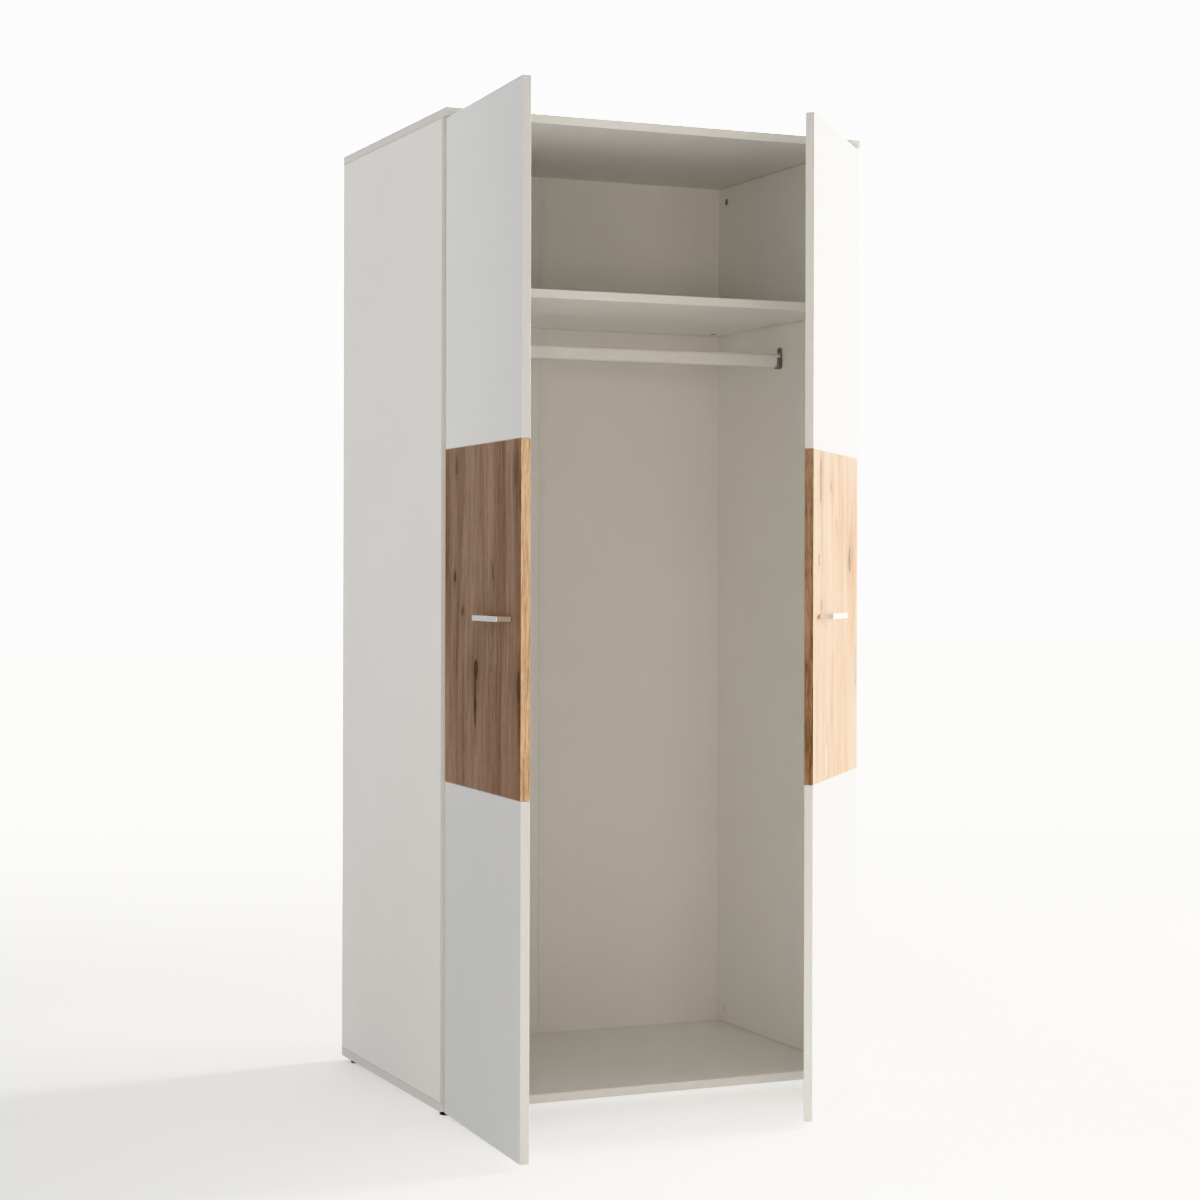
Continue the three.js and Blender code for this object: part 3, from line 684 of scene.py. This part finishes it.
class Cam:
    """A cam fitting's disc centre on the board's face, and the way its face and its bolt point."""

    def __init__(self, kind, name, row):
        self.node = f"{kind}_cam_{name}_{row}"
        side = SIDES[name]
        low, high = CARCASS.span(self.node)
        self.outward = -Z if kind == "shelf" else -side * X
        self.bolt = {"top": Z, "bottom": -Z, "shelf": side * X}[kind]
        half_out, half_along = (abs((high - low).dot(way)) / 2 for way in (self.outward, self.bolt))
        face_centre = (low + high) / 2 + half_out * self.outward
        self.centre = face_centre + (CAM_RADIUS - half_along) * self.bolt
        self.bolt_length = 2 * half_along - CAM_RADIUS

    def lathe(self, bm, profile):
        add_lathe(bm, profile, aim(self.centre, self.outward, self.bolt))

    def build(self):
        bm = bmesh.new()
        ease = 0.4 * MM
        self.lathe(bm, [
            (0, -CAM_DEPTH), (CAM_RADIUS - ease, -CAM_DEPTH), (CAM_RADIUS, -CAM_DEPTH + ease),
            (CAM_RADIUS, -0.3 * MM), (CAM_RADIUS - 0.3 * MM, 0), (CAM_RADIUS - CAM_RIM, 0),
            (CAM_RADIUS - CAM_RIM - ease, -CAM_DISH), (0, -CAM_DISH),
        ])
        disc = to_mesh(self.node, bm, [cast_zinc])
        floor = self.centre - CAM_DISH * self.outward
        mark = floor + CAM_MARK * self.bolt.cross(self.outward)
        bm = reopened(carve(disc, [
            cross_cutter(floor, self.outward, self.bolt, CAM_CROSS, cast_zinc),
            hole_cutter(mark, self.outward, 0.5 * MM, 0.3 * MM, cast_zinc),
        ]))
        bolt_start = self.centre - (CAM_DEPTH - BOLT_RADIUS) * 0.72 * self.outward
        add_lathe(bm, self.bolt_profile(), aim(bolt_start, self.bolt, self.outward), segments=20)
        mesh = to_mesh(self.node, bm, [cast_zinc])
        place_piece(f"{self.node}_fitting", mesh, CARCASS, [self.node])

    def bolt_profile(self):
        """A plain shank that comes out of the disc, then a coarse thread."""
        start, shank = CAM_RADIUS - 1.0 * MM, BOLT_RADIUS - 0.5 * MM
        height = self.bolt_length - BOLT_THREAD_LENGTH
        profile = [(0, start), (shank, start), (shank, height)]
        while height < self.bolt_length - 2 * MM:
            profile += [(BOLT_RADIUS, height + 0.5 * MM), (BOLT_RADIUS - 0.7 * MM, height + 1.2 * MM)]
            height += BOLT_THREAD_PITCH
        return profile + [(1.2 * MM, self.bolt_length), (0, self.bolt_length)]

    def cover(self):
        """A thin white cap pushed over the fitting."""
        bm = bmesh.new()
        rim, height = CAM_RADIUS + 1.4 * MM, 1.3 * MM
        self.lathe(bm, [
            (0, 0), (rim, 0), (rim, 0.5 * height), (rim - 0.5 * MM, 0.85 * height), (0, height),
        ])
        mesh = to_mesh(f"{self.node}_cap", bm, [strip_white])
        place_piece(f"{self.node}_cap", mesh, CARCASS)


CAMS = {
    (kind, *corner): Cam(kind, *corner) for kind in ("top", "bottom", "shelf") for corner in CORNERS
}
for (kind, _, _), cam in CAMS.items():
    cam.build()
    if kind == "bottom":
        cam.cover()

# ---------------- carcass boards

BOARD_BEVEL = 0.8 * MM
GROOVE_CLEARANCE = 0.3 * MM
FOOT_HOLE_RADIUS = 8.3 * MM


def board_mesh(name, low, high, thin_axis, face, edges, bevel=BOARD_BEVEL):
    """A board with rounded arrises. edges gives the edge material towards each signed axis."""
    bm = bmesh.new()
    add_box(bm, low, high, bevel)
    bm.normal_update()
    materials = [face]
    for polygon in bm.faces:
        normal = polygon.normal
        if abs(normal[thin_axis]) > 0.99:
            continue
        axis = max((a for a in range(3) if a != thin_axis), key=lambda a: abs(normal[a]))
        material = edges[axis, 1 if normal[axis] > 0 else -1]
        if material not in materials:
            materials.append(material)
        polygon.material_index = materials.index(material)
    return to_mesh(name, bm, materials)


def edge_materials(default, **special):
    """Edge materials by axis and sign, with some named ones changed."""
    edges = {(axis, sign): default for axis in range(3) for sign in (-1, 1)}
    named = {
        "front": (1, -1), "rear": (1, 1), "left": (0, -1), "right": (0, 1),
        "low": (2, -1), "high": (2, 1),
    }
    for key, material in special.items():
        edges[named[key]] = material
    return edges


def groove_cutter():
    """The slot all round the carcass that the two back boards slide into."""
    spans = [CARCASS.span(f"back_panel_{name}") for name in SIDES]
    low = Vector([min(span[0][axis] for span in spans) - GROOVE_CLEARANCE for axis in range(3)])
    high = Vector([max(span[1][axis] for span in spans) + GROOVE_CLEARANCE for axis in range(3)])
    bm = bmesh.new()
    add_box(bm, low, high)
    return to_mesh("groove", bm, [chipboard])


def cam_cutters(keys):
    return [
        hole_cutter(CAMS[key].centre, CAMS[key].outward, CAM_HOLE_RADIUS, CAM_HOLE_DEPTH) for key in keys
    ]


def foot_cutters():
    cutters = []
    floor = CARCASS.span("bottom_panel")[0].z
    for name, row in CORNERS:
        low, high = CARCASS.span(f"foot_{name}_{row}")
        centre = Vector(((low.x + high.x) / 2, (low.y + high.y) / 2, floor))
        cutters.append(hole_cutter(centre, -Z, FOOT_HOLE_RADIUS, high.z - floor))
    return cutters


def carcass_board(node, thin_axis, edges, cutters):
    mesh = board_mesh(node, *CARCASS.span(node), thin_axis, white_board, edges)
    if cutters:
        mesh = carve(mesh, cutters)
    return place_piece(f"{node}_board", mesh, CARCASS, [node])


banded = edge_materials(white_band, rear=chipboard)
carcass_board("top_panel", 2, banded, [groove_cutter()])
carcass_board("bottom_panel", 2, banded, [groove_cutter(), *foot_cutters()])
shelf_keys = [key for key in CAMS if key[0] == "shelf"]
shelf_edges = edge_materials(white_band, rear=chipboard, left=chipboard, right=chipboard)
carcass_board("hat_shelf", 2, shelf_edges, cam_cutters(shelf_keys))
side_edges = edge_materials(white_band, rear=chipboard, low=chipboard, high=chipboard)
for name in SIDES:
    side_keys = [key for key in CAMS if key[0] != "shelf" and key[1] == name]
    carcass_board(f"{name}_side_panel", 0, side_edges, [groove_cutter(), *cam_cutters(side_keys)])

for name in SIDES:
    node = f"back_panel_{name}"
    low, high = CARCASS.span(node)
    bm = bmesh.new()
    add_box(bm, low, high, 0.2 * MM, segments=2)
    bm.normal_update()
    for polygon in bm.faces:
        polygon.material_index = 0 if polygon.normal.y < -0.5 else 1
    mesh = to_mesh(node, bm, [back_print, hardboard])
    place_piece(f"{node}_board", mesh, CARCASS, [node])


def joint_strip():
    """The plastic strip of H section that joins the two back boards."""
    node = "back_joint_strip"
    low, high = CARCASS.span(node)
    board_low, board_high = CARCASS.span("back_panel_left")
    half = (high.x - low.x) / 2
    web = -board_high.x - 0.3 * MM
    front, rear = board_low.y - GROOVE_CLEARANCE, board_high.y + GROOVE_CLEARANCE
    right = [(half, low.y), (half, front), (web, front), (web, rear), (half, rear), (half, high.y)]
    outline = right + [(-x, y) for x, y in reversed(right)]
    bm = bmesh.new()
    add_prism(bm, outline, low.z, high.z, Matrix.Identity(4), bevel=0.25 * MM, segments=2)
    place_piece(f"{node}_profile", to_mesh(node, bm, [strip_white]), CARCASS, [node])


joint_strip()

# ---------------- hanging rail


def oval(width, height, steps=20):
    """Points round an upright oval, up to the last before it closes."""
    points = []
    radius = width / 2
    straight = height / 2 - radius
    for half, lift in enumerate((straight, -straight)):
        for step in range(steps + 1):
            angle = math.pi * (half + step / steps)
            points.append((radius * math.cos(angle), lift + radius * math.sin(angle)))
    return points[:-1]


@mesh_builder
def add_tube(bm, outer, inner, low, high, matrix, lip=0.0):
    """A tube between two outlines with the same number of points, with eased outer ends."""
    rings = []
    for outline, height, ease in (
        (outer, low, lip), (outer, low + lip, 0), (outer, high - lip, 0), (outer, high, lip),
        (inner, high, 0), (inner, low, 0),
    ):
        centre = Vector([sum(point[i] for point in outline) / len(outline) for i in (0, 1)])
        ring = []
        for point in outline:
            out = Vector(point) - centre
            eased = centre + out * (1 - ease / out.length)
            ring.append(bm.verts.new(matrix @ Vector((eased.x, eased.y, height))))
        rings.append(ring)
    skin(bm, [*rings, rings[0]])


RAIL_WALL = 1.2 * MM
BRACKET_FIT = 0.4 * MM
BRACKET_WALL = 2.5 * MM
BRACKET_BACK = 2.0 * MM
BRACKET_STEPS = 40


def hanging_rail():
    node = "hanging_rail"
    low, high = CARCASS.span(node)
    depth, height = high.y - low.y, high.z - low.z
    outer = oval(depth, height)
    inner = oval(depth - 2 * RAIL_WALL, height - 2 * RAIL_WALL)
    centre = Vector((0, (low.y + high.y) / 2, (low.z + high.z) / 2))
    bm = bmesh.new()
    add_tube(bm, outer, inner, low.x, high.x, aim(centre, X, Y), lip=0.3 * MM)
    mesh = to_mesh(node, bm, [rail_white])
    place_piece(f"{node}_tube", mesh, CARCASS, [node])
    return centre, depth, height


RAIL_CENTRE, RAIL_DEPTH, RAIL_HEIGHT = hanging_rail()


def cup_outline(grow):
    """An oval round the rail, this much wider than it and open at the top."""
    radius = (RAIL_DEPTH + grow) / 2
    straight = (RAIL_HEIGHT + grow) / 2 - radius
    points = []
    for step in range(BRACKET_STEPS + 1):
        angle = math.radians(150 + 240 * step / BRACKET_STEPS)
        lift = -straight if math.sin(angle) < 0 else 0.3 * straight
        points.append((radius * math.cos(angle), lift + radius * math.sin(angle)))
    return points


def rail_bracket(name):
    """An open cup that the rail drops into, on a back plate with a screw above the rail."""
    node = f"rail_bracket_{name}"
    side = SIDES[name]
    low, high = CARCASS.span(node)
    inward = -side * X
    base = Vector((high.x if side > 0 else low.x, RAIL_CENTRE.y, RAIL_CENTRE.z))
    matrix = aim(base, inward, -side * Y)
    grow_in = 2 * BRACKET_FIT
    grow_out = grow_in + 2 * BRACKET_WALL
    bm = bmesh.new()
    cup = cup_outline(grow_out) + cup_outline(grow_in)[::-1]
    add_prism(bm, cup, BRACKET_BACK, high.x - low.x, matrix, bevel=0.6 * MM, segments=2)
    plate_centre = (0, (high.z + low.z) / 2 - RAIL_CENTRE.z)
    plate = rounded_rectangle(RAIL_DEPTH + grow_out, high.z - low.z, 7 * MM, centre=plate_centre)
    add_prism(bm, plate, 0, BRACKET_BACK, matrix, bevel=0.35 * MM, segments=2)
    screw = matrix @ Vector((0, high.z - RAIL_CENTRE.z - 7 * MM, BRACKET_BACK))
    mesh = screwed(node, bm, [cast_zinc], [screw], inward, Z, (4.0, 1.8), (4.4, 1.0, 1.4))
    place_piece(f"{node}_cup", mesh, CARCASS, [node])


for name in SIDES:
    rail_bracket(name)

# ---------------- feet


def foot(name, row):
    """A plug-in glide: a ribbed pad with an eased rim, under a plug in the bottom panel."""
    node = f"foot_{name}_{row}"
    low, high = CARCASS.span(node)
    radius = (high.x - low.x) / 2
    plug = FOOT_HOLE_RADIUS - 0.3 * MM
    pad = [
        (0, 0), (radius - 1.2 * MM, 0), (radius - 0.42 * MM, 0.42 * MM), (radius, 1.2 * MM),
        (radius, 3.2 * MM), (radius - 0.5 * MM, 3.6 * MM), (radius - 0.5 * MM, 4.0 * MM),
        (radius, 4.4 * MM), (radius, 6.4 * MM), (radius - 0.8 * MM, 7.2 * MM),
        (radius - 3.5 * MM, 7.9 * MM), (plug, 8.2 * MM),
    ]
    profile = [(reach, low.z + height) for reach, height in pad]
    profile += [(plug, high.z - 1 * MM), (plug - 1 * MM, high.z), (0, high.z)]
    bm = bmesh.new()
    centre = Vector(((low.x + high.x) / 2, (low.y + high.y) / 2, 0))
    add_lathe(bm, profile, Matrix.Translation(centre), segments=56)
    mesh = to_mesh(node, bm, [dark_plastic])
    place_piece(f"{node}_glide", mesh, CARCASS, [node])


for name, row in CORNERS:
    foot(name, row)

# ---------------- hinges

HINGE_NUMBERS = (1, 2, 3, 4)
CUP_HOLE_RADIUS = 17.5 * MM
CUP_OUTER_RADIUS = 17.1 * MM
CUP_INNER_RADIUS = 16.0 * MM
FLANGE_THICKNESS = 1.2 * MM
CUP_PIN_OFFSETS = (-8.0 * MM, -2.0 * MM)
CUP_PIN_DEPTH = 3.2 * MM
ARM_PLATE = 3.5 * MM
ARM_HALF_WIDTH = 6 * MM


def cup_centre(name, number):
    """Centre of a hinge cup on the door's inner face, in the door's own coordinates."""
    low, high = DOORS[name].span(f"{name}_hinge_cup_{number}")
    return Vector(((low.x + high.x) / 2, high.y - FLANGE_THICKNESS, (low.z + high.z) / 2))


def hinge_cup(name, number):
    """A pressed cup with a screwed flange, two pivot pins and a rolled rim."""
    node = f"{name}_hinge_cup_{number}"
    place = DOORS[name]
    low, high = place.span(node)
    centre = cup_centre(name, number)
    matrix = aim(centre, Y, X)
    depth = high.y - FLANGE_THICKNESS - low.y
    height = high.z - low.z
    bm = bmesh.new()
    flange = rounded_rectangle(high.x - low.x, height, 8 * MM)
    add_prism(bm, flange, 0, FLANGE_THICKNESS, matrix, bevel=0.35 * MM, segments=2)
    outer, inner, rolled = CUP_OUTER_RADIUS, CUP_INNER_RADIUS, CUP_INNER_RADIUS + 0.5 * MM
    add_lathe(bm, [
        (0, -depth), (outer - 2 * MM, -depth), (outer - 0.6 * MM, -depth + 0.6 * MM),
        (outer, -depth + 2 * MM), (outer, 0.4 * MM), (0, 0.4 * MM),
    ], matrix, segments=64)
    pressing = to_mesh(node, bm, [nickel])
    bm = bmesh.new()
    add_lathe(bm, [
        (0, -depth + MM), (inner - 2.5 * MM, -depth + MM), (inner - 0.7 * MM, -depth + 1.7 * MM),
        (inner, -depth + 3.5 * MM), (inner, FLANGE_THICKNESS - 0.5 * MM),
        (rolled, FLANGE_THICKNESS), (rolled, 3 * MM), (0, 3 * MM),
    ], matrix, segments=64)
    bm = reopened(carve(pressing, [to_mesh("cup_hollow", bm, [nickel])]))
    for offset in CUP_PIN_OFFSETS:
        pin = matrix @ Vector((-SIDES[name] * offset, 0, -CUP_PIN_DEPTH))
        end = math.sqrt(inner ** 2 - offset ** 2)
        profile = [(0, -end), (1.3 * MM, -end), (1.3 * MM, end), (0, end)]
        add_lathe(bm, profile, aim(pin, Z, X), segments=16, material=1)
    screws = [centre + FLANGE_THICKNESS * Y + end * (height / 2 - 4.3 * MM) * Z for end in (-1, 1)]
    mesh = screwed(node, bm, [nickel, pivot_steel], screws, Y, Z, (3.2, 1.1), (3.6, 0.8, 1.0))
    place_piece(f"{node}_pressing", mesh, place, [node])


def hinge_arm(name, number):
    """A pressed arm on a winged plate, with its two adjusting screws and two fixing screws."""
    node = f"{name}_hinge_arm_{number}"
    side = SIDES[name]
    low, high = CARCASS.span(node)
    inward = -side * X
    base = Vector((high.x if side > 0 else low.x, 0, (low.z + high.z) / 2))
    # x runs towards the back and z runs away from the side panel
    matrix = aim(base, inward, Y)
    top = high.x - low.x
    front, rear = low.y, high.y
    plate_y = front + 46 * MM
    bm = bmesh.new()
    wing = rounded_rectangle(14 * MM, high.z - low.z, 5 * MM, centre=(plate_y, 0))
    add_prism(bm, wing, 0, ARM_PLATE, matrix, bevel=0.6 * MM, segments=2)
    spine = rounded_rectangle(rear - front - 34 * MM, 15 * MM, 2 * MM, centre=(plate_y + 5 * MM, 0))
    add_prism(bm, spine, 0, ARM_PLATE + 1.2 * MM, matrix, bevel=0.6 * MM, segments=2)
    # the arm's side view is drawn from the wall outwards and pushed out to both sides of the middle
    profile = [
        (front, top - 8.5 * MM), (front, top - 3 * MM), (front + 3 * MM, top), (rear - 7 * MM, top),
        (rear - 1.5 * MM, top - 4 * MM), (rear, top - 7 * MM), (rear, ARM_PLATE + 0.8 * MM),
        (rear - 6 * MM, ARM_PLATE + 0.8 * MM), (rear - 12 * MM, ARM_PLATE + 1.6 * MM),
        (plate_y - 8 * MM, ARM_PLATE + 1.6 * MM), (front + 22 * MM, top - 8.5 * MM),
    ]
    side_view = Matrix.Translation(base) @ Matrix((
        (0, inward.x, 0, 0), (1, 0, 0, 0), (0, 0, 1, 0), (0, 0, 0, 1),
    ))
    add_prism(bm, profile, -ARM_HALF_WIDTH, ARM_HALF_WIDTH, side_view, bevel=0.9 * MM)
    adjusters = [base + y * Y + top * inward for y in (front + 20 * MM, rear - 16 * MM)]
    fixings = [base + plate_y * Y + end * 16 * MM * Z + ARM_PLATE * inward for end in (-1, 1)]
    slots = bmesh.new()
    for at in adjusters:
        slot = rounded_rectangle(13 * MM, 7.4 * MM, 3.6 * MM)
        add_prism(slots, slot, -1.6 * MM, OVERRUN, aim(at, inward, Y))
    slots = to_mesh("arm_slots", slots, [nickel])
    materials = [nickel, pivot_steel]
    mesh = screwed(node, bm, materials, fixings, inward, Z, (4.0, 1.9), (4.6, 1.0, 1.5), [slots])
    sunk = [at - 1.8 * MM * inward for at in adjusters]
    mesh = screwed(node, reopened(mesh), materials, sunk, inward, Y, (3.3, 1.5), (4.0, 0.9, 0.9))
    place_piece(f"{node}_pressing", mesh, CARCASS, [node])


for name in SIDES:
    for number in HINGE_NUMBERS:
        hinge_cup(name, number)
        hinge_arm(name, number)

# ---------------- doors

SECTIONS = ("lower", "middle", "upper")
HANDLE_SCREW_HOLE_RADIUS = 2.5 * MM
PLATE_SCREWS_X = (-152 * MM, -56 * MM, 56 * MM, 152 * MM)
PLATE_SCREWS_Z = (-18 * MM, 18 * MM)
HANDLE_LEG = 12 * MM
HANDLE_BAR = 5 * MM
HANDLE_CORNER = 1.5 * MM


def door_section(name, section):
    """A section of door board. The white ones are glossy on the outside only."""
    place = DOORS[name]
    node = f"{name}_door_{section}_section"
    low, high = place.span(node)
    oak = section == "middle"
    # The white doors' edge band is darkened for painted shade.
    face, band = (oak_faces[name], oak_bands[name]) if oak else (gloss_white, door_edge_band_painted_shade)
    mesh = board_mesh(node, low, high, 1, face, edge_materials(band), bevel=0.7 * MM)
    if not oak:
        index = len(mesh.materials)
        mesh.materials.append(white_board)
        for polygon in mesh.polygons:
            if polygon.normal.y > 0.99:
                polygon.material_index = index
    cutters = []
    for number in HINGE_NUMBERS:
        centre = cup_centre(name, number)
        if low.z < centre.z < high.z:
            centre.y = high.y
            depth = high.y - place.span(f"{name}_hinge_cup_{number}")[0].y + 0.3 * MM
            cutters.append(hole_cutter(centre, Y, CUP_HOLE_RADIUS, depth))
    if oak:
        for letter in "ab":
            screw_low, screw_high = place.span(f"{name}_handle_screw_{letter}")
            centre = (screw_low + screw_high) / 2
            centre.y = high.y
            through = high.y - low.y + OVERRUN
            cutters.append(hole_cutter(centre, Y, HANDLE_SCREW_HOLE_RADIUS, through))
    if cutters:
        mesh = carve(mesh, cutters)
    place_piece(f"{node}_board", mesh, place, [node])


def joint_plate(name, which):
    """A steel plate over the joint of two door sections, with eight countersunk screws."""
    place = DOORS[name]
    node = f"{name}_door_{which}_joint_plate"
    low, high = place.span(node)
    centre = (low + high) / 2
    centre.y = low.y
    thickness = high.y - low.y
    bm = bmesh.new()
    outline = rounded_rectangle(high.x - low.x, high.z - low.z, 4 * MM)
    add_prism(bm, outline, 0, thickness, aim(centre, Y, X), bevel=0.3 * MM, segments=2)
    spots = [centre + Vector((x, thickness, z)) for x in PLATE_SCREWS_X for z in PLATE_SCREWS_Z]
    mesh = screwed(node, bm, [plate_zinc, pivot_steel], spots, Y, X, (4.2, 0.9), (4.8, 1.0, 1.0))
    place_piece(f"{node}_pressing", mesh, place, [node])


def handle(name):
    """A flat bar bent to a U, with eased arrises and softly turned corners."""
    place = DOORS[name]
    node = f"{name}_handle"
    low, high = place.span(node)

    def outer_corner(x, first, turns=5):
        """A quarter turn at the front of the bar, from this angle in degrees."""
        angles = [math.radians(first + 90 * step / turns) for step in range(turns + 1)]
        y = low.y + HANDLE_CORNER
        return [(x + HANDLE_CORNER * math.cos(a), y + HANDLE_CORNER * math.sin(a)) for a in angles]

    outline = [(low.x, high.y), *outer_corner(low.x + HANDLE_CORNER, 180)]
    outline += [*outer_corner(high.x - HANDLE_CORNER, 270), (high.x, high.y)]
    for leg, inward in ((high.x - HANDLE_LEG, -1), (low.x + HANDLE_LEG, 1)):
        steps = [(leg, high.y)]
        for share_x, share_y in ((0, 1), (0.3, 0.3), (1, 0)):
            x = leg + inward * share_x * HANDLE_CORNER
            steps.append((x, low.y + HANDLE_BAR + share_y * HANDLE_CORNER))
        outline += steps if inward < 0 else steps[::-1]
    bm = bmesh.new()
    add_prism(bm, outline, low.z, high.z, Matrix.Identity(4), bevel=0.45 * MM, segments=3)
    place_piece(f"{node}_bar", to_mesh(node, bm, [satin_metal]), place, [node])


def handle_screw(name, letter):
    place = DOORS[name]
    node = f"{name}_handle_screw_{letter}"
    low, high = place.span(node)
    head_radius = (high.x - low.x) / 2
    head_height = 2.4 * MM
    base = (low + high) / 2
    base.y = high.y - head_height
    length = base.y - low.y
    bm = bmesh.new()
    add_lathe(bm, [
        (0, -length), (1.4 * MM, -length), (2 * MM, -length + 0.6 * MM), (2 * MM, 0),
        (head_radius, 0), (head_radius, 0.6 * MM), (0.9 * head_radius, 1.5 * MM),
        (0.65 * head_radius, 2.1 * MM), (0.3 * head_radius, head_height), (0, head_height),
    ], aim(base, Y, X), segments=32)
    recess = cross_cutter(base + head_height * Y, Y, X, (5.0, 1.1, 1.6), pivot_steel)
    mesh = carve(to_mesh(node, bm, [plate_zinc]), [recess])
    place_piece(f"{node}_bolt", mesh, place, [node])


for name in SIDES:
    for section in SECTIONS:
        door_section(name, section)
    for which in ("lower", "upper"):
        joint_plate(name, which)
    handle(name)
    for letter in "ab":
        handle_screw(name, letter)

# ---------------- floor, light and camera


# How brightly the floor glows everywhere, in a painted pool of light in front that also lights the wardrobe
# from below, and far behind as a backdrop.
FLOOR_GLOW = 0.34
POOL_GLOW = 0.9
BACKDROP_GLOW = 2.4
POOL_CENTRE = (0.1, -1.7)
POOL_HALF_SIZE = (0.9, 1.1)
# The backdrop comes up between these distances along this heading, in metres.
BACKDROP_REACH = (0.8, 7.0)
BACKDROP_HEADING = (0.4, 0.916)
FLOOR_HALF_SIZE = 30

# Light from each compass heading, in degrees from +Y towards +X.
WALL_LIGHT = (
    (-180, (0.3, 0.28, 0.25)),
    (-110, (0.49, 0.49, 0.51)),
    (-18, (0.38, 0.38, 0.4)),
    (4, (3.00, 3.00, 3.00)),
    (37, (3.00, 3.00, 3.00)),
    (45, (1.20, 1.20, 1.20)),
    (90, (1.20, 1.18, 1.15)),
    (120, (0.8, 0.79, 0.77)),
    (150, (0.28, 0.26, 0.24)),
    (180, (0.3, 0.28, 0.25)),
)
CEILING_LIGHT = (0.72, 0.72, 0.71)
# Upward slopes between which the walls' light turns into the ceiling's.
CEILING_SLOPES = (0.35, 0.8)
# Below the horizon there is this share of the walls' light, reached between these slopes.
FLOOR_SHARE = 0.6
FLOOR_SLOPES = (-0.12, -0.01)

# Soft boxes: place, what it faces, width and height in metres, power in watts and colour.
SOFT_BOXES = {
    "front": ((-1.9, -5.1, 1.2), (0.0, 0.0, 1.1), (3.0, 1.6), 60, (1.0, 0.92, 0.79)),
    "right": ((4.0, 0.0, 1.6), (0.3, -0.5, 1.0), (2.4, 2.4), 580, (1.0, 0.98, 0.94)),
}

CAMERA_PLACE = Vector((-2.1707, -5.0007, 1.0768))
CAMERA_HEADING = 23.613
CAMERA_ROLL = 0.126
CAMERA_LENS = 74.84
CAMERA_SHIFT = -0.0233


def studio_floor():
    """A pale matt floor that glows a little, so that it ends in a white backdrop. In front it glows
    brighter, a painted pool of light that lights the wardrobe from below.
    """
    finish = Finish("studio_floor", Roughness=0.9, Emission_Color=(1, 0.99, 0.97, 1))
    shade = finish.noise(1.5, detail=2)
    finish.use("Base Color", finish.mix(shade, (0.52, 0.52, 0.52), (0.5, 0.5, 0.5)))
    x, y = (finish.axes(finish.coords)[axis] for axis in "XY")
    behind = finish.plus(finish.times(x, BACKDROP_HEADING[0]), finish.times(y, BACKDROP_HEADING[1]))
    backdrop = finish.remap(behind, *BACKDROP_REACH, 0, BACKDROP_GLOW, smooth=True)
    # Painted pool of light: the floor glows brighter in front of the wardrobe.
    from_pool = finish.minus(x, POOL_CENTRE[0]), finish.minus(y, POOL_CENTRE[1])
    pool = finish.fading(finish.oval(*from_pool, *POOL_HALF_SIZE))
    glow = finish.plus(backdrop, finish.times(pool, POOL_GLOW))
    finish.use("Emission Strength", finish.plus(glow, FLOOR_GLOW))
    bm = bmesh.new()
    for side_x, side_y in ((-1, -1), (1, -1), (1, 1), (-1, 1)):
        bm.verts.new((side_x * FLOOR_HALF_SIZE, side_y * FLOOR_HALF_SIZE, CAD_BOX[0].z))
    bm.faces.new(bm.verts[:])
    floor = add_object("studio_floor", to_mesh("studio_floor", bm, [finish.material]))
    floor.visible_glossy = False


def studio_world():
    """A studio as one large soft light: white behind, pale to the right, dim elsewhere."""
    world = bpy.data.worlds.new("studio")
    bpy.context.scene.world = world
    world.use_nodes = True
    nodes = Nodes(world.node_tree)
    background = nodes.tree.nodes["Background"]
    way = nodes.axes(nodes.add("ShaderNodeTexCoord").outputs["Generated"])
    share = nodes.remap(nodes.math("ARCTAN2", way["X"], way["Y"]), -math.pi, math.pi, 0, 1)
    walls = nodes.ramp(share, [(degrees / 360 + 0.5, colour) for degrees, colour in WALL_LIGHT])
    above = nodes.remap(way["Z"], *CEILING_SLOPES, 0, 1, smooth=True)
    nodes.feed(background.inputs["Color"], nodes.mix(above, walls, CEILING_LIGHT))
    horizon = nodes.remap(way["Z"], *FLOOR_SLOPES, FLOOR_SHARE, 1, smooth=True)
    nodes.feed(background.inputs["Strength"], horizon)


def studio_camera():
    data = bpy.data.cameras.new("camera")
    data.lens = CAMERA_LENS
    data.sensor_width = 36
    data.shift_y = CAMERA_SHIFT
    camera = add_object("camera", data)
    heading = Matrix.Rotation(-math.radians(CAMERA_HEADING), 4, "Z")
    level = Matrix.Rotation(math.radians(90), 4, "X")
    roll = Matrix.Rotation(math.radians(CAMERA_ROLL), 4, "Z")
    camera.matrix_world = Matrix.Translation(CAMERA_PLACE) @ heading @ level @ roll
    bpy.context.scene.camera = camera


def soft_boxes():
    for name, (place, target, size, power, colour) in SOFT_BOXES.items():
        data = bpy.data.lights.new(name, "AREA")
        data.shape = "RECTANGLE"
        data.size, data.size_y = size
        data.energy = power
        data.color = colour
        lamp = add_object(f"{name}_soft_box", data)
        aimed = (Vector(target) - Vector(place)).to_track_quat("-Z", "Y")
        lamp.matrix_world = Matrix.Translation(place) @ aimed.to_matrix().to_4x4()


studio_floor()
studio_world()
soft_boxes()
studio_camera()
bpy.context.scene.view_settings.view_transform = "Khronos PBR Neutral"
